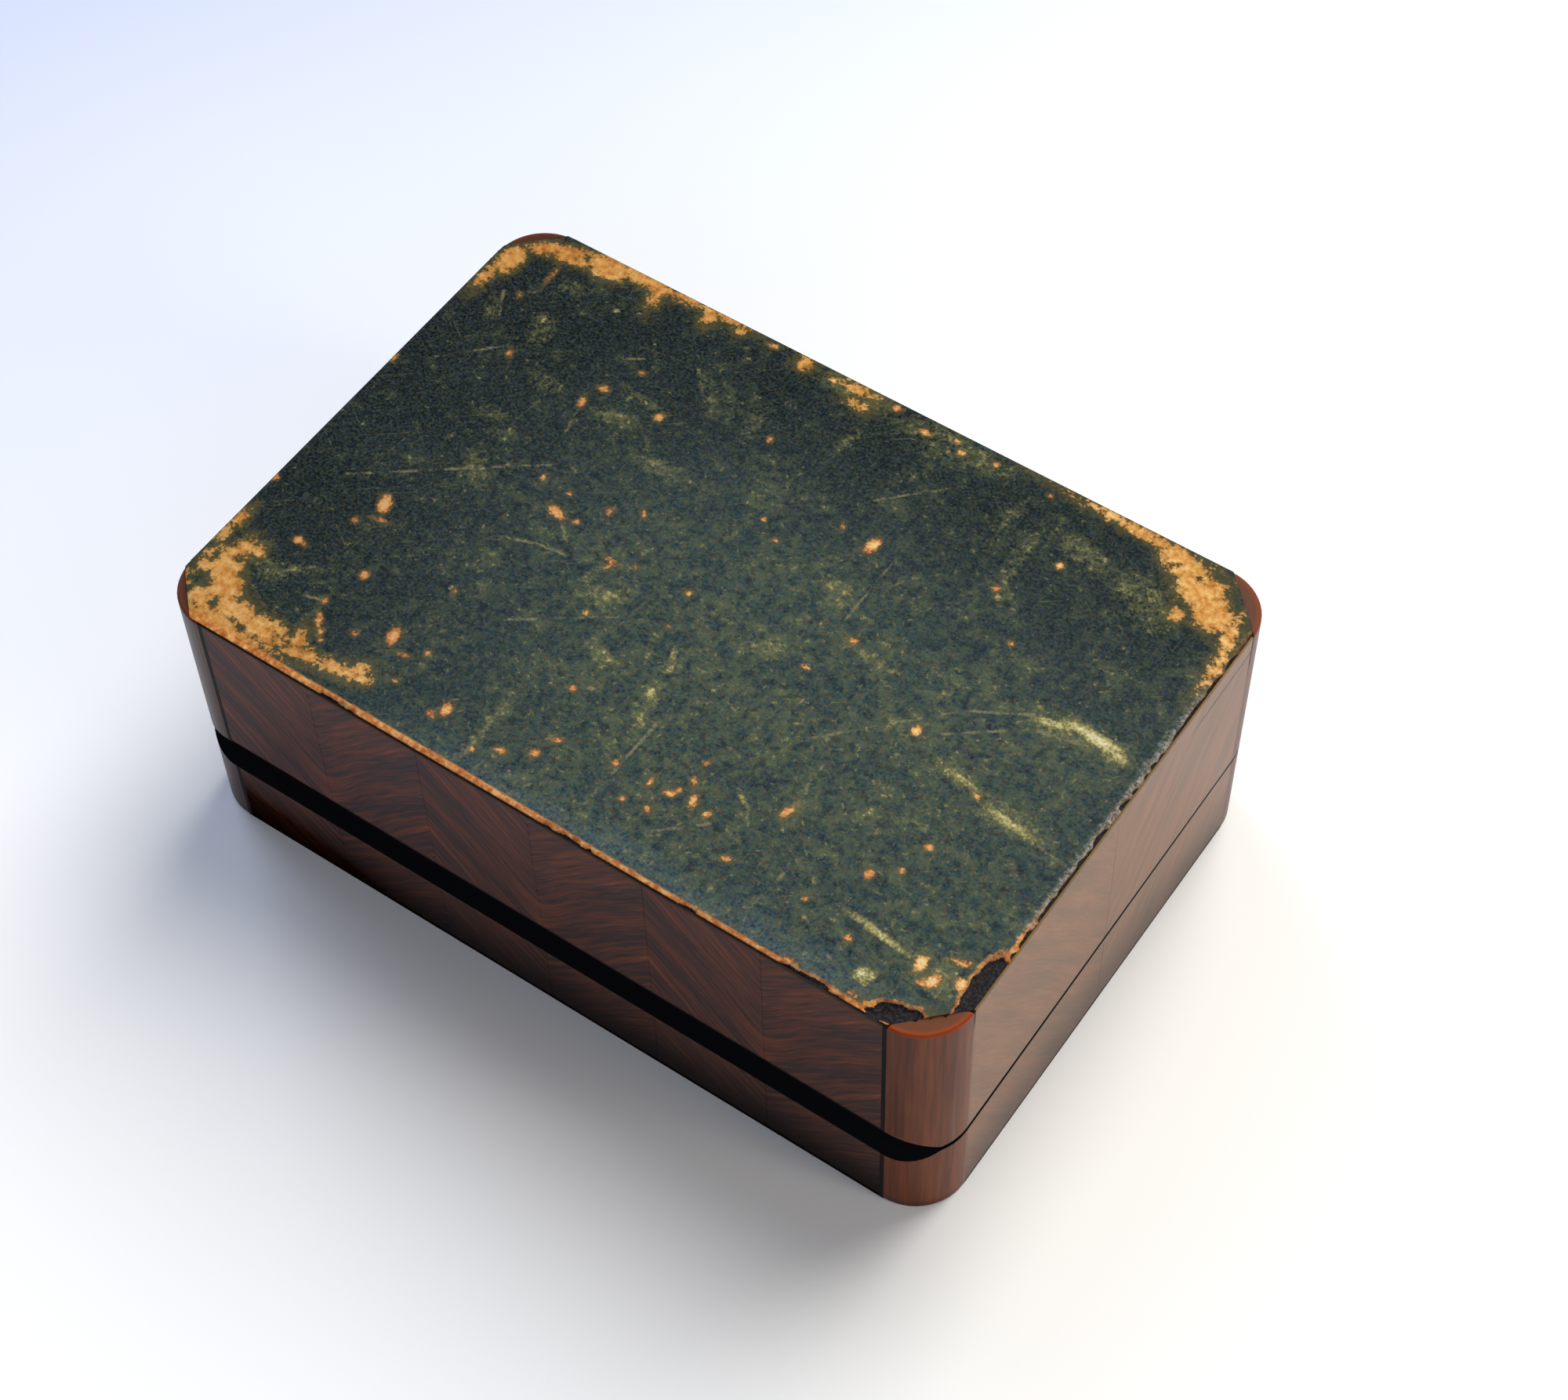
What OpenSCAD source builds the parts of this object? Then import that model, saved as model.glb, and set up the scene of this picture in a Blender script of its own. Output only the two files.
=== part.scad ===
// Veneered box with rounded corners, a lid on two small brass hinges and a leather-covered base.
// It lies on its lid, so z = 0 is the lid's marquetry face and the leather is on top.
// X runs along the hinge side, -Y is the hinge side, +Y the side where the box opens.
// Box and lid are made as one closed case, veneered, and then sawn apart at the joint.
// Solid posts form the round corners; the walls are tongued into them.

/* [Case] */
// Length along the hinge side
box_w = 120; // [95:1:180]
// Depth from the hinge side to the opening side
box_d = 80.5; // [64:0.5:120]
// Height of the closed box, leather included
box_h = 44.5; // [38:0.5:70]
// Outside radius of the four upright corners
corner_r = 7.4; // [6.8:0.1:9]

/* [Saw cut] */
// Height of the joint above the lid's face, at the hinge line
joint_z = 15; // [13:0.1:20]
// How much higher the saw cut comes out at the opening side
joint_rise = 1.2; // [0:0.1:2]
// Gap between the two rims at the hinge line
gap_back = 0.8; // [0.4:0.05:1]
// Gap between the two rims at the opening side
gap_front = 0.3; // [0.1:0.05:0.4]
// Width of the black bevelled groove on the hinge side
groove_w = 6.2; // [5.2:0.1:6.6]
// Depth of that groove, where its bevels reach the flat rims
groove_depth = 3.4; // [3:0.1:4]

/* [Carcass] */
// Thickness of the carcass walls
wall_t = 5.6; // [5.2:0.1:7]
// Thickness of the base board and of the lid's board
board_t = 3.5; // [2.5:0.1:4.5]
// How far the boards are let into the walls
rebate_w = 2.5; // [1.5:0.1:3.5]
// Thickness of the tongues at the walls' ends
tongue_t = 2; // [1.4:0.1:2.4]
// How far a tongue reaches into its corner post
tongue_l = 2.2; // [1.5:0.1:2.6]

/* [Side veneers] */
// Thickness of the sawn veneers
veneer_t = 0.9; // [0.6:0.05:1.2]
// Leaves of veneer on each long side
long_leaves = 6; // [4:2:8]
// Leaves of veneer on each short side
short_leaves = 2; // [2:2:6]
// Width of the black strings beside the corners, on the long sides
string_w = 0.6; // [0.4:0.1:1.2]
// Width of the black strings beside the corners, on the short sides
short_string_w = 0.3; // [0.2:0.05:1]
// Glue line between two leaves
seam = 0.03; // [0.02:0.01:0.1]

/* [Base leather] */
// Thickness of the leather
leather_t = 0.5; // [0.3:0.05:0.8]
// How far the leather stays back from the edges
leather_inset = 0.25; // [0.1:0.05:0.6]
// Length cut off the leather's corner at the hinge side, on the right
leather_cut_near = 7.4; // [4:0.1:9]
// The same at the hinge side, on the left
leather_cut_left = 5.8; // [4:0.1:9]
// The same at the opening side, on the left
leather_cut_far = 6.4; // [4:0.1:9]
// The same at the opening side, on the right
leather_cut_right = 6.9; // [4:0.1:9]

/* [Lid marquetry] */
// Width of the crossbanded border
banding_w = 11; // [7:0.5:14]
// Width of the light string round the field
field_string_w = 0.8; // [0.5:0.1:1.2]
// Radius of the star's round ground
star_r = 17; // [12:0.5:20]
// Width of the light ring round the star
ring_w = 0.8; // [0.5:0.1:1.2]
// Points of the star
star_points = 8; // [6:2:12]
// Radius of the star between its points
star_waist_r = 7; // [5:0.5:9]
// Radius of the button in the middle of the star
button_r = 1.6; // [1.2:0.1:2.2]

/* [Lining] */
// Thickness of the velvet-covered wall linings
lining_t = 1; // [0.6:0.1:1.6]
// How far the linings stay below the rims
lining_drop = 1.4; // [1:0.1:3]
// Thickness of the pads in the base and the lid
pad_t = 2.5; // [1.5:0.1:3.5]
// Gap between a pad and the linings round it
pad_gap = 0.25; // [0.1:0.05:0.5]

/* [Hinges] */
// Length of each hinge
hinge_l = 14; // [10:0.5:20]
// Distance from each end of the case to the middle of its hinge
hinge_from_end = 27; // [20:0.5:36]
// Thickness of a hinge leaf
leaf_t = 0.6; // [0.4:0.05:0.7]
// How far a hinge leaf reaches in from the hinge line
leaf_reach = 3.3; // [2.9:0.1:3.5]
// Outside radius of the knuckles
knuckle_r = 0.9; // [0.8:0.05:1.1]
// Radius of the hinge pin
pin_r = 0.4; // [0.3:0.05:0.5]
// Radial clearance of the pin in the turning knuckle
pin_clearance = 0.05; // [0.02:0.01:0.08]
// Radius of a screw head
screw_head_r = 0.8; // [0.6:0.05:1]
// Length of a screw
screw_l = 4.2; // [3:0.1:5]

/* [Hidden] */
$fn = 48;

// Half sizes of the case, of the carcass outside and of its inside
half_w = box_w / 2;
half_d = box_d / 2;
case_w = half_w - veneer_t;
case_d = half_d - veneer_t;
inner_w = case_w - wall_t;
inner_d = case_d - wall_t;
// The carcass stands between the lid's veneers and the base leather
case_z0 = veneer_t;
case_z1 = box_h - leather_t;
lid_floor_z = case_z0 + board_t;
tray_floor_z = case_z1 - board_t;
// The hinge line is a little nearer the hinge side than half the groove's width,
// so the lid opens just past square before the bevels' outer edges would meet
axis_y = -half_d + groove_w / 2 - 0.15;
bevel_slope = (groove_w - gap_back) / 2 / groove_depth;
// A corner post is square inside and at least as wide as the walls are thick
post_w = max(corner_r, veneer_t + wall_t + 0.4);
post_x = half_w - post_w;
post_y = half_d - post_w;
// The lid's field inside its crossbanded border
field_w = half_w - veneer_t - banding_w;
field_d = half_d - veneer_t - banding_w;
inlay_w = field_w - field_string_w;
inlay_d = field_d - field_string_w;
hinge_x = half_w - hinge_from_end;
// Hinge knuckles: the tray has the middle one, the lid the outer two
knuckle_gap = 0.12;
knuckle_l = (hinge_l - 2 * knuckle_gap) / 3;
recess_clearance = 0.15;
tongue_gap = 0.05;
screw_y = axis_y + knuckle_r + (leaf_reach - knuckle_r) / 2;
screw_x = hinge_l / 2 - 2.6;
screw_shank_r = screw_head_r * 0.5;
screw_head_h = leaf_t * 0.8;
slot_w = 0.3;
slot_h = 0.2;
over = 1; // how far cutting shapes run past what they cut

wood = "#6b3420";
corner_wood = "#7d3f22";
ebonised = "#15120f";
boxwood = "#d8b873";
carcass_wood = "#c79a62";
leather = "#23302c";
velvet = "#5a1420";
brass = "#b8934a";

// ---- building blocks

// Plan of the case, inset from the outside by a given amount
module plan(inset) {
    r = corner_r - inset;
    x = half_w - corner_r;
    y = half_d - corner_r;
    square([2 * x, 2 * (y + r)], center = true);
    square([2 * (x + r), 2 * y], center = true);
    for (sx = [-1, 1], sy = [-1, 1])
        translate([sx * x, sy * y]) circle(r);
}

module slab(inset, z0, z1) {
    translate([0, 0, z0]) linear_extrude(z1 - z0) plan(inset);
}

// A block given by its lowest and highest corners
module block(low, high) {
    translate(low) cube(high - low);
}

// A Y-Z outline drawn along the whole length of the case
module along_case(points) {
    rotate([90, 0, 90]) linear_extrude(box_w + 2 * over, center = true) polygon(points);
}

// What lies on the lid's side of the saw cut, or on the tray's side. The cut rises from the groove
// to the opening side, as sawn by hand.
module side_of_cut(side) {
    far_z = side < 0 ? -over : box_h + over;
    along_case([
        [-half_d - over, far_z],
        [-half_d - over, joint_z + side * (groove_w / 2 + over * bevel_slope)],
        [-half_d + groove_depth, joint_z + side * gap_back / 2],
        [half_d, joint_z + joint_rise + side * gap_front / 2],
        [half_d + over, joint_z + joint_rise + side * gap_front / 2],
        [half_d + over, far_z]
    ]);
}

module lid_part() {
    intersection() {
        children();
        side_of_cut(-1);
    }
}

module tray_part() {
    intersection() {
        children();
        side_of_cut(1);
    }
}

// ---- carcass

// Both boards together, as they are let into the walls and posts
module both_boards() {
    for (z = [[case_z0, lid_floor_z], [tray_floor_z, case_z1]])
        block([-inner_w - rebate_w, -inner_d - rebate_w, z[0]],
              [inner_w + rebate_w, inner_d + rebate_w, z[1]]);
}

// Tongues on both ends of the walls, or their grooves when clearance is given
module long_tongues(y_side, clearance) {
    y = y_side * (inner_d + wall_t / 2);
    x = post_x + tongue_l + clearance;
    block([-x, y - tongue_t / 2 - clearance, case_z0 - clearance],
          [x, y + tongue_t / 2 + clearance, case_z1 + clearance]);
}

module short_tongues(x_side, clearance) {
    x = x_side * (inner_w + wall_t / 2);
    y = post_y + tongue_l + clearance;
    block([x - tongue_t / 2 - clearance, -y, case_z0 - clearance],
          [x + tongue_t / 2 + clearance, y, case_z1 + clearance]);
}

module long_wall(y_side) {
    y0 = y_side > 0 ? inner_d : -case_d;
    difference() {
        union() {
            block([-post_x, y0, case_z0], [post_x, y0 + wall_t, case_z1]);
            long_tongues(y_side, 0);
        }
        both_boards();
        if (y_side < 0) hinge_recesses();
    }
}

module short_wall(x_side) {
    x0 = x_side > 0 ? inner_w : -case_w;
    difference() {
        union() {
            block([x0, -post_y, case_z0], [x0 + wall_t, post_y, case_z1]);
            short_tongues(x_side, 0);
        }
        both_boards();
    }
}

module corner_posts() {
    difference() {
        for (sx = [-1, 1], sy = [-1, 1]) intersection() {
            slab(0, 0, case_z1);
            block([sx > 0 ? post_x : -half_w, sy > 0 ? post_y : -half_d, 0],
                  [sx > 0 ? half_w : -post_x, sy > 0 ? half_d : -post_y, case_z1]);
        }
        block([-inner_w, -inner_d, lid_floor_z - over], [inner_w, inner_d, tray_floor_z + over]);
        both_boards();
        face_space();
        for (side = [-1, 1]) {
            long_tongues(side, tongue_gap);
            short_tongues(side, tongue_gap);
        }
    }
}

module board(z0) {
    color(carcass_wood)
        block([-inner_w - rebate_w, -inner_d - rebate_w, z0],
              [inner_w + rebate_w, inner_d + rebate_w, z0 + board_t]);
}

// ---- side veneers

// Leaves side by side along a flat side that faces -Y, over the case's whole height
module leaves(flat, count, string, depth) {
    leaf_w = 2 * (flat - string) / count;
    for (i = [0 : count - 1]) {
        x = -flat + string + i * leaf_w;
        block([x + seam / 2, -depth, 0], [x + leaf_w - seam / 2, -depth + veneer_t, case_z1]);
    }
}

// The two strings that end such a side
module side_strings(flat, string, depth) {
    for (x = [-flat, flat - string])
        block([x, -depth, 0], [x + string, -depth + veneer_t, case_z1]);
}

module long_veneers(y_side) {
    rotate(y_side > 0 ? 180 : 0) leaves(post_x, long_leaves, string_w, half_d);
}

module short_veneers(x_side) {
    rotate(x_side * 90) leaves(post_y, short_leaves, short_string_w, half_w);
}

module corner_strings() {
    for (turn = [0, 180]) {
        rotate(turn) side_strings(post_x, string_w, half_d);
        rotate(turn + 90) side_strings(post_y, short_string_w, half_w);
    }
}

// ---- lid marquetry, all of one thickness, on the lid's board and the walls' edges

// Where the lid's face veneers lie, inside the side veneers and the posts' rounded outsides
module face_space() {
    slab(veneer_t, -over, veneer_t);
}

// One length of a mitred frame between two rectangles, on the side that faces -Y
module mitred_length(outer_w, outer_d, inner_x, inner_y) {
    linear_extrude(veneer_t)
        polygon([
            [-outer_w + seam / 2, -outer_d],
            [outer_w - seam / 2, -outer_d],
            [inner_x - seam / 2, -inner_y],
            [-inner_x + seam / 2, -inner_y]
        ]);
}

module mitred_frame(outer_w, outer_d, inner_x, inner_y) {
    for (turn = [0, 180]) {
        rotate(turn) mitred_length(outer_w, outer_d, inner_x, inner_y);
        rotate(turn + 90) mitred_length(outer_d, outer_w, inner_y, inner_x);
    }
}

module crossbanding() {
    intersection() {
        mitred_frame(case_w, case_d, field_w, field_d);
        slab(veneer_t, 0, veneer_t);
    }
}

module field_veneers() {
    difference() {
        for (sx = [-1, 1], sy = [-1, 1])
            block([sx > 0 ? seam / 2 : -inlay_w, sy > 0 ? seam / 2 : -inlay_d, 0],
                  [sx > 0 ? inlay_w : -seam / 2, sy > 0 ? inlay_d : -seam / 2, veneer_t]);
        translate([0, 0, -over]) cylinder(r = star_r + ring_w, h = veneer_t + 2 * over);
    }
}

module star_ring() {
    difference() {
        cylinder(r = star_r + ring_w, h = veneer_t);
        translate([0, 0, -over]) cylinder(r = star_r, h = veneer_t + 2 * over);
    }
}

// Half of each point, on the left of its middle line (side -1) or the right (side 1)
module half_points(side, z0, z1) {
    step = 360 / star_points;
    tip_r = star_r * 1.03;
    for (i = [0 : star_points - 1])
        rotate(i * step) translate([0, 0, z0]) linear_extrude(z1 - z0)
            polygon([
                [0, 0],
                [0, tip_r],
                [side * star_waist_r * sin(step / 2), star_waist_r * cos(step / 2)]
            ]);
}

module star_halves(side) {
    intersection() {
        difference() {
            half_points(side, 0, veneer_t);
            translate([0, 0, -over]) cylinder(r = button_r, h = veneer_t + 2 * over);
        }
        cylinder(r = star_r, h = veneer_t);
    }
}

module star_ground() {
    difference() {
        cylinder(r = star_r, h = veneer_t);
        half_points(-1, -over, veneer_t + over);
        half_points(1, -over, veneer_t + over);
    }
}

// ---- base leather, its corners cut straight across

module base_leather() {
    x = half_w - leather_inset;
    y = half_d - leather_inset;
    near = leather_cut_near;
    left = leather_cut_left;
    far = leather_cut_far;
    right = leather_cut_right;
    translate([0, 0, case_z1]) linear_extrude(leather_t)
        polygon([
            [-x + left, -y], [x - near, -y], [x, -y + near], [x, y - right],
            [x - right, y], [-x + far, y], [-x, y - far], [-x, -y + left]
        ]);
}

// ---- velvet lining

// Lining boards between two heights: the long ones run through, the short ones stand between them
module long_lining(y_side, z0, z1) {
    y0 = y_side > 0 ? inner_d - lining_t : -inner_d;
    block([-inner_w, y0, z0], [inner_w, y0 + lining_t, z1]);
}

module short_lining(x_side, z0, z1) {
    x0 = x_side > 0 ? inner_w - lining_t : -inner_w;
    block([x0, -inner_d + lining_t, z0], [x0 + lining_t, inner_d - lining_t, z1]);
}

module pad(z0) {
    x = inner_w - lining_t - pad_gap;
    y = inner_d - lining_t - pad_gap;
    block([-x, -y, z0], [x, y, z0 + pad_t]);
}

lid_lining_z1 = joint_z - gap_back / 2 - lining_drop;
tray_lining_z0 = joint_z + joint_rise + gap_back / 2 + lining_drop;

// ---- hinges

module at_hinge(x_side) {
    translate([x_side * hinge_x, axis_y, joint_z]) children();
}

// A cylinder along X, from x0, about the hinge line
module rod(r, x0, length) {
    translate([x0, 0, 0]) rotate([0, 90, 0]) cylinder(r = r, h = length);
}

// Where knuckle i of three starts
function knuckle_x(i) = -hinge_l / 2 + i * (knuckle_l + knuckle_gap);

// Screw with its head's face at z = 0, pointing up
module screw() {
    difference() {
        union() {
            cylinder(r1 = screw_head_r, r2 = screw_shank_r, h = screw_head_h);
            cylinder(r = screw_shank_r, h = screw_l);
        }
        block([-screw_head_r - over, -slot_w / 2, -over], [screw_head_r + over, slot_w / 2, slot_h]);
    }
}

// The screws' places on one leaf; side 1 is the tray's leaf, -1 the lid's
module at_screws(side) {
    for (x_side = [-1, 1], sx = [-1, 1])
        translate([x_side * hinge_x + sx * screw_x, screw_y, joint_z + side * gap_back / 2])
            mirror([0, 0, side < 0 ? 1 : 0]) children();
}

module screw_space() {
    cylinder(r = screw_shank_r, h = screw_l);
}

// What is cut from the hinge-side wall for knuckles, leaves and screws
module hinge_recesses() {
    for (x_side = [-1, 1]) at_hinge(x_side) {
        rod(knuckle_r + recess_clearance, -hinge_l / 2 - recess_clearance, hinge_l + 2 * recess_clearance);
        block([-hinge_l / 2, 0, -gap_back / 2 - leaf_t], [hinge_l / 2, leaf_reach, gap_back / 2 + leaf_t]);
    }
    for (side = [-1, 1]) at_screws(side) screw_space();
}

module hinge_leaf(x_side, side) {
    own = side > 0 ? [1] : [0, 2];
    others = side > 0 ? [0, 2] : [1];
    bore = side > 0 ? pin_r + pin_clearance : pin_r + 0.01;
    z0 = side > 0 ? gap_back / 2 : -gap_back / 2 - leaf_t;
    difference() {
        at_hinge(x_side) difference() {
            union() {
                block([-hinge_l / 2, 0, z0], [hinge_l / 2, leaf_reach, z0 + leaf_t]);
                for (i = own) rod(knuckle_r, knuckle_x(i), knuckle_l);
            }
            for (i = others)
                rod(knuckle_r + knuckle_gap, knuckle_x(i) - knuckle_gap - (i == 0 ? over : 0),
                    knuckle_l + 2 * knuckle_gap + (i == 1 ? 0 : over));
            rod(bore, -hinge_l / 2 - over, hinge_l + 2 * over);
        }
        at_screws(side) {
            cylinder(r1 = screw_head_r, r2 = screw_shank_r, h = screw_head_h);
            translate([0, 0, -over]) cylinder(r = screw_shank_r, h = leaf_t + 2 * over);
        }
    }
}

module hinge_pin(x_side) {
    at_hinge(x_side) rod(pin_r, -hinge_l / 2, hinge_l);
}

// ---- the nodes

module lid_back_wall() { color(carcass_wood) lid_part() long_wall(-1); }
module lid_front_wall() { color(carcass_wood) lid_part() long_wall(1); }
module lid_left_wall() { color(carcass_wood) lid_part() short_wall(-1); }
module lid_right_wall() { color(carcass_wood) lid_part() short_wall(1); }
module lid_top_board() { board(case_z0); }
module lid_back_veneers() { color(wood) lid_part() long_veneers(-1); }
module lid_front_veneers() { color(wood) lid_part() long_veneers(1); }
module lid_left_veneers() { color(wood) lid_part() short_veneers(-1); }
module lid_right_veneers() { color(wood) lid_part() short_veneers(1); }
module lid_corner_posts() { color(corner_wood) lid_part() corner_posts(); }
module lid_corner_strings() { color(ebonised) lid_part() corner_strings(); }
module lid_crossbanding() { color(corner_wood) crossbanding(); }
module lid_field_string() { color(boxwood) mitred_frame(field_w, field_d, inlay_w, inlay_d); }
module lid_field_veneers() { color(wood) field_veneers(); }
module lid_star_ring() { color(boxwood) star_ring(); }
module lid_star_ground() { color(corner_wood) star_ground(); }
module lid_star_light() { color(boxwood) star_halves(-1); }
module lid_star_dark() { color(ebonised) star_halves(1); }
module lid_star_button() { color(boxwood) cylinder(r = button_r, h = veneer_t); }
module lid_lining_pad() { color(velvet) pad(lid_floor_z); }
module lid_lining_back() { color(velvet) long_lining(-1, lid_floor_z, lid_lining_z1); }
module lid_lining_front() { color(velvet) long_lining(1, lid_floor_z, lid_lining_z1); }
module lid_lining_left() { color(velvet) short_lining(-1, lid_floor_z, lid_lining_z1); }
module lid_lining_right() { color(velvet) short_lining(1, lid_floor_z, lid_lining_z1); }
module lid_hinge_leaf_left() { color(brass) hinge_leaf(-1, -1); }
module lid_hinge_leaf_right() { color(brass) hinge_leaf(1, -1); }
module hinge_pin_left() { color(brass) hinge_pin(-1); }
module hinge_pin_right() { color(brass) hinge_pin(1); }
module lid_hinge_screws() { color(brass) at_screws(-1) screw(); }
module tray_back_wall() { color(carcass_wood) tray_part() long_wall(-1); }
module tray_front_wall() { color(carcass_wood) tray_part() long_wall(1); }
module tray_left_wall() { color(carcass_wood) tray_part() short_wall(-1); }
module tray_right_wall() { color(carcass_wood) tray_part() short_wall(1); }
module tray_base_board() { board(tray_floor_z); }
module tray_back_veneers() { color(wood) tray_part() long_veneers(-1); }
module tray_front_veneers() { color(wood) tray_part() long_veneers(1); }
module tray_left_veneers() { color(wood) tray_part() short_veneers(-1); }
module tray_right_veneers() { color(wood) tray_part() short_veneers(1); }
module tray_corner_posts() { color(corner_wood) tray_part() corner_posts(); }
module tray_corner_strings() { color(ebonised) tray_part() corner_strings(); }
module tray_base_leather() { color(leather) base_leather(); }
module tray_lining_pad() { color(velvet) pad(tray_floor_z - pad_t); }
module tray_lining_back() { color(velvet) long_lining(-1, tray_lining_z0, tray_floor_z); }
module tray_lining_front() { color(velvet) long_lining(1, tray_lining_z0, tray_floor_z); }
module tray_lining_left() { color(velvet) short_lining(-1, tray_lining_z0, tray_floor_z); }
module tray_lining_right() { color(velvet) short_lining(1, tray_lining_z0, tray_floor_z); }
module tray_hinge_leaf_left() { color(brass) hinge_leaf(-1, 1); }
module tray_hinge_leaf_right() { color(brass) hinge_leaf(1, 1); }
module tray_hinge_screws() { color(brass) at_screws(1) screw(); }

lid_back_wall();
lid_front_wall();
lid_left_wall();
lid_right_wall();
lid_top_board();
lid_back_veneers();
lid_front_veneers();
lid_left_veneers();
lid_right_veneers();
lid_corner_posts();
lid_corner_strings();
lid_crossbanding();
lid_field_string();
lid_field_veneers();
lid_star_ring();
lid_star_ground();
lid_star_light();
lid_star_dark();
lid_star_button();
lid_lining_pad();
lid_lining_back();
lid_lining_front();
lid_lining_left();
lid_lining_right();
lid_hinge_leaf_left();
lid_hinge_leaf_right();
hinge_pin_left();
hinge_pin_right();
lid_hinge_screws();
tray_back_wall();
tray_front_wall();
tray_left_wall();
tray_right_wall();
tray_base_board();
tray_back_veneers();
tray_front_veneers();
tray_left_veneers();
tray_right_veneers();
tray_corner_posts();
tray_corner_strings();
tray_base_leather();
tray_lining_pad();
tray_lining_back();
tray_lining_front();
tray_lining_left();
tray_lining_right();
tray_hinge_leaf_left();
tray_hinge_leaf_right();
tray_hinge_screws();
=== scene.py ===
import math
import bmesh
import bpy
import numpy as np
from mathutils import Matrix, Vector


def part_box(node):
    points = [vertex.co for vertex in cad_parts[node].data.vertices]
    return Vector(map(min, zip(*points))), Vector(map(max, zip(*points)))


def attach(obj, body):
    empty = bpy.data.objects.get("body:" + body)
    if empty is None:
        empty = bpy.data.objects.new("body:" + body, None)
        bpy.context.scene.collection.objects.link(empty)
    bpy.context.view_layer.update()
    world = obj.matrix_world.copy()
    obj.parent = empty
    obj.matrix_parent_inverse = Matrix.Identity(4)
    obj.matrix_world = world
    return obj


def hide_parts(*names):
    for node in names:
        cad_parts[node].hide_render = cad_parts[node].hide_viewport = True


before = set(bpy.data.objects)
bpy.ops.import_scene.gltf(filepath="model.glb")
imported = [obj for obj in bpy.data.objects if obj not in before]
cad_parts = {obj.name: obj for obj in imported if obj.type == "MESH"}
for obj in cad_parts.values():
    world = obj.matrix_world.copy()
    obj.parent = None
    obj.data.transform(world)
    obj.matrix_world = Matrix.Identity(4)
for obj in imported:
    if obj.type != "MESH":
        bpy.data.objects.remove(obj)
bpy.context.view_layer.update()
scene = bpy.context.scene
mm = 0.001
print("frame loaded:", len(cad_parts), "nodes")

# the case as modelled in CAD, in millimetres; z = 0 is the lid's face
case = {
    "halfW": 60, "halfD": 40.25, "height": 44.5, "woodTop": 44, "jointZ": 15, "jointRise": 1.2,
    "grooveHalf": 3.1, "grooveDepth": 3.4, "grooveY": -34.4, "postX": 52.6, "postY": 32.85, "endStringX": 58.9,
    "longString": 0.6, "shortString": 0.3, "longLeaves": 6, "shortLeaves": 2,
}
# rounding of the arrises, in millimetres, where they are sharper than minAngle degrees
arris = {"minAngle": 25, "carcass": 0.15, "post": 0.3, "veneer": 0.02, "brass": 0.05, "pin": 0.08, "screw": 0.04,
         "inlay": 0.05}
polished = {"Roughness": 0.36, "IOR": 1.5, "Specular_IOR_Level": 0.3}


def fromHex(code):  # sRGB hex to linear colour
    parts = [int(code[i:i + 2], 16) / 255 for i in (1, 3, 5)]
    return [c / 12.92 if c <= 0.04045 else ((c + 0.055) / 1.055) ** 2.4 for c in parts] + [1.0]


def addNode(tree, kind, settings=None, inputs=None):  # inputs are values or the sockets to link
    node = tree.nodes.new(kind)
    for key, value in (settings or {}).items():
        setattr(node, key, value)
    for key, value in (inputs or {}).items():
        if isinstance(value, bpy.types.NodeSocket):
            tree.links.new(value, node.inputs[key])
        else:
            node.inputs[key].default_value = value
    return node


def newMaterial(name, **fixed):  # a principled material; fixed holds its uniform values, colours as hex codes
    material = bpy.data.materials.new(name)
    material.use_nodes = True
    shader = material.node_tree.nodes["Principled BSDF"]
    for key, value in fixed.items():
        value = fromHex(value) if isinstance(value, str) else value
        shader.inputs[key.replace("_", " ")].default_value = value
    return material, shader


def feed(shader, **sockets):  # links a socket to each named input
    for key, socket in sockets.items():
        shader.id_data.links.new(socket, shader.inputs[key.replace("_", " ")])


# the helpers below make nodes in the tree of the first socket they are given; lengths are in millimetres

def calc(operation, *values):  # one Math node
    tree = next(v.id_data for v in values if isinstance(v, bpy.types.NodeSocket))
    return addNode(tree, "ShaderNodeMath", {"operation": operation}, dict(enumerate(values))).outputs[0]


def times(first, *rest):
    for value in rest:
        first = calc("MULTIPLY", first, value)
    return first


def plus(first, *rest):
    for value in rest:
        first = calc("ADD", first, value)
    return first


def minus(a, b):
    return calc("SUBTRACT", a, b)


def inverse(a):
    return minus(1, a)


def larger(a, b):
    return calc("MAXIMUM", a, b)


def absolute(a):
    return calc("ABSOLUTE", a)


def shift(value, noise, reach):  # moved up and down by noise
    return plus(value, times(minus(noise, 0.5), reach))


def fade(value, start, end):  # from 0 at start to 1 at end, smooth between; start may be the larger
    return addNode(value.id_data, "ShaderNodeMapRange", {"interpolation_type": "SMOOTHSTEP"},
                   {"Value": value, "From Min": start, "From Max": end}).outputs[0]


def blend(share, first, second):  # hex codes or colour sockets
    pick = [fromHex(c) if isinstance(c, str) else c for c in (first, second)]
    mix = addNode(share.id_data, "ShaderNodeMix", {"data_type": "RGBA"}, {0: share, 6: pick[0], 7: pick[1]})
    return mix.outputs[2]


def ramp(value, *stops):  # stops are (position, hex colour)
    node = addNode(value.id_data, "ShaderNodeValToRGB", inputs={"Fac": value})
    elements = node.color_ramp.elements
    elements.remove(elements[-1])
    for i, (place, code) in enumerate(stops):
        element = elements[0] if i == 0 else elements.new(place)
        element.position = place
        element.color = fromHex(code)
    return node.outputs["Color"]


def placeOf(shader):  # the point on the object, as x, y and z
    tree = shader.id_data
    point = addNode(tree, "ShaderNodeVectorMath", {"operation": "SCALE"}, {
        0: addNode(tree, "ShaderNodeTexCoord").outputs["Object"], "Scale": 1 / mm})
    return addNode(tree, "ShaderNodeSeparateXYZ", inputs={0: point.outputs[0]}).outputs


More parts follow.
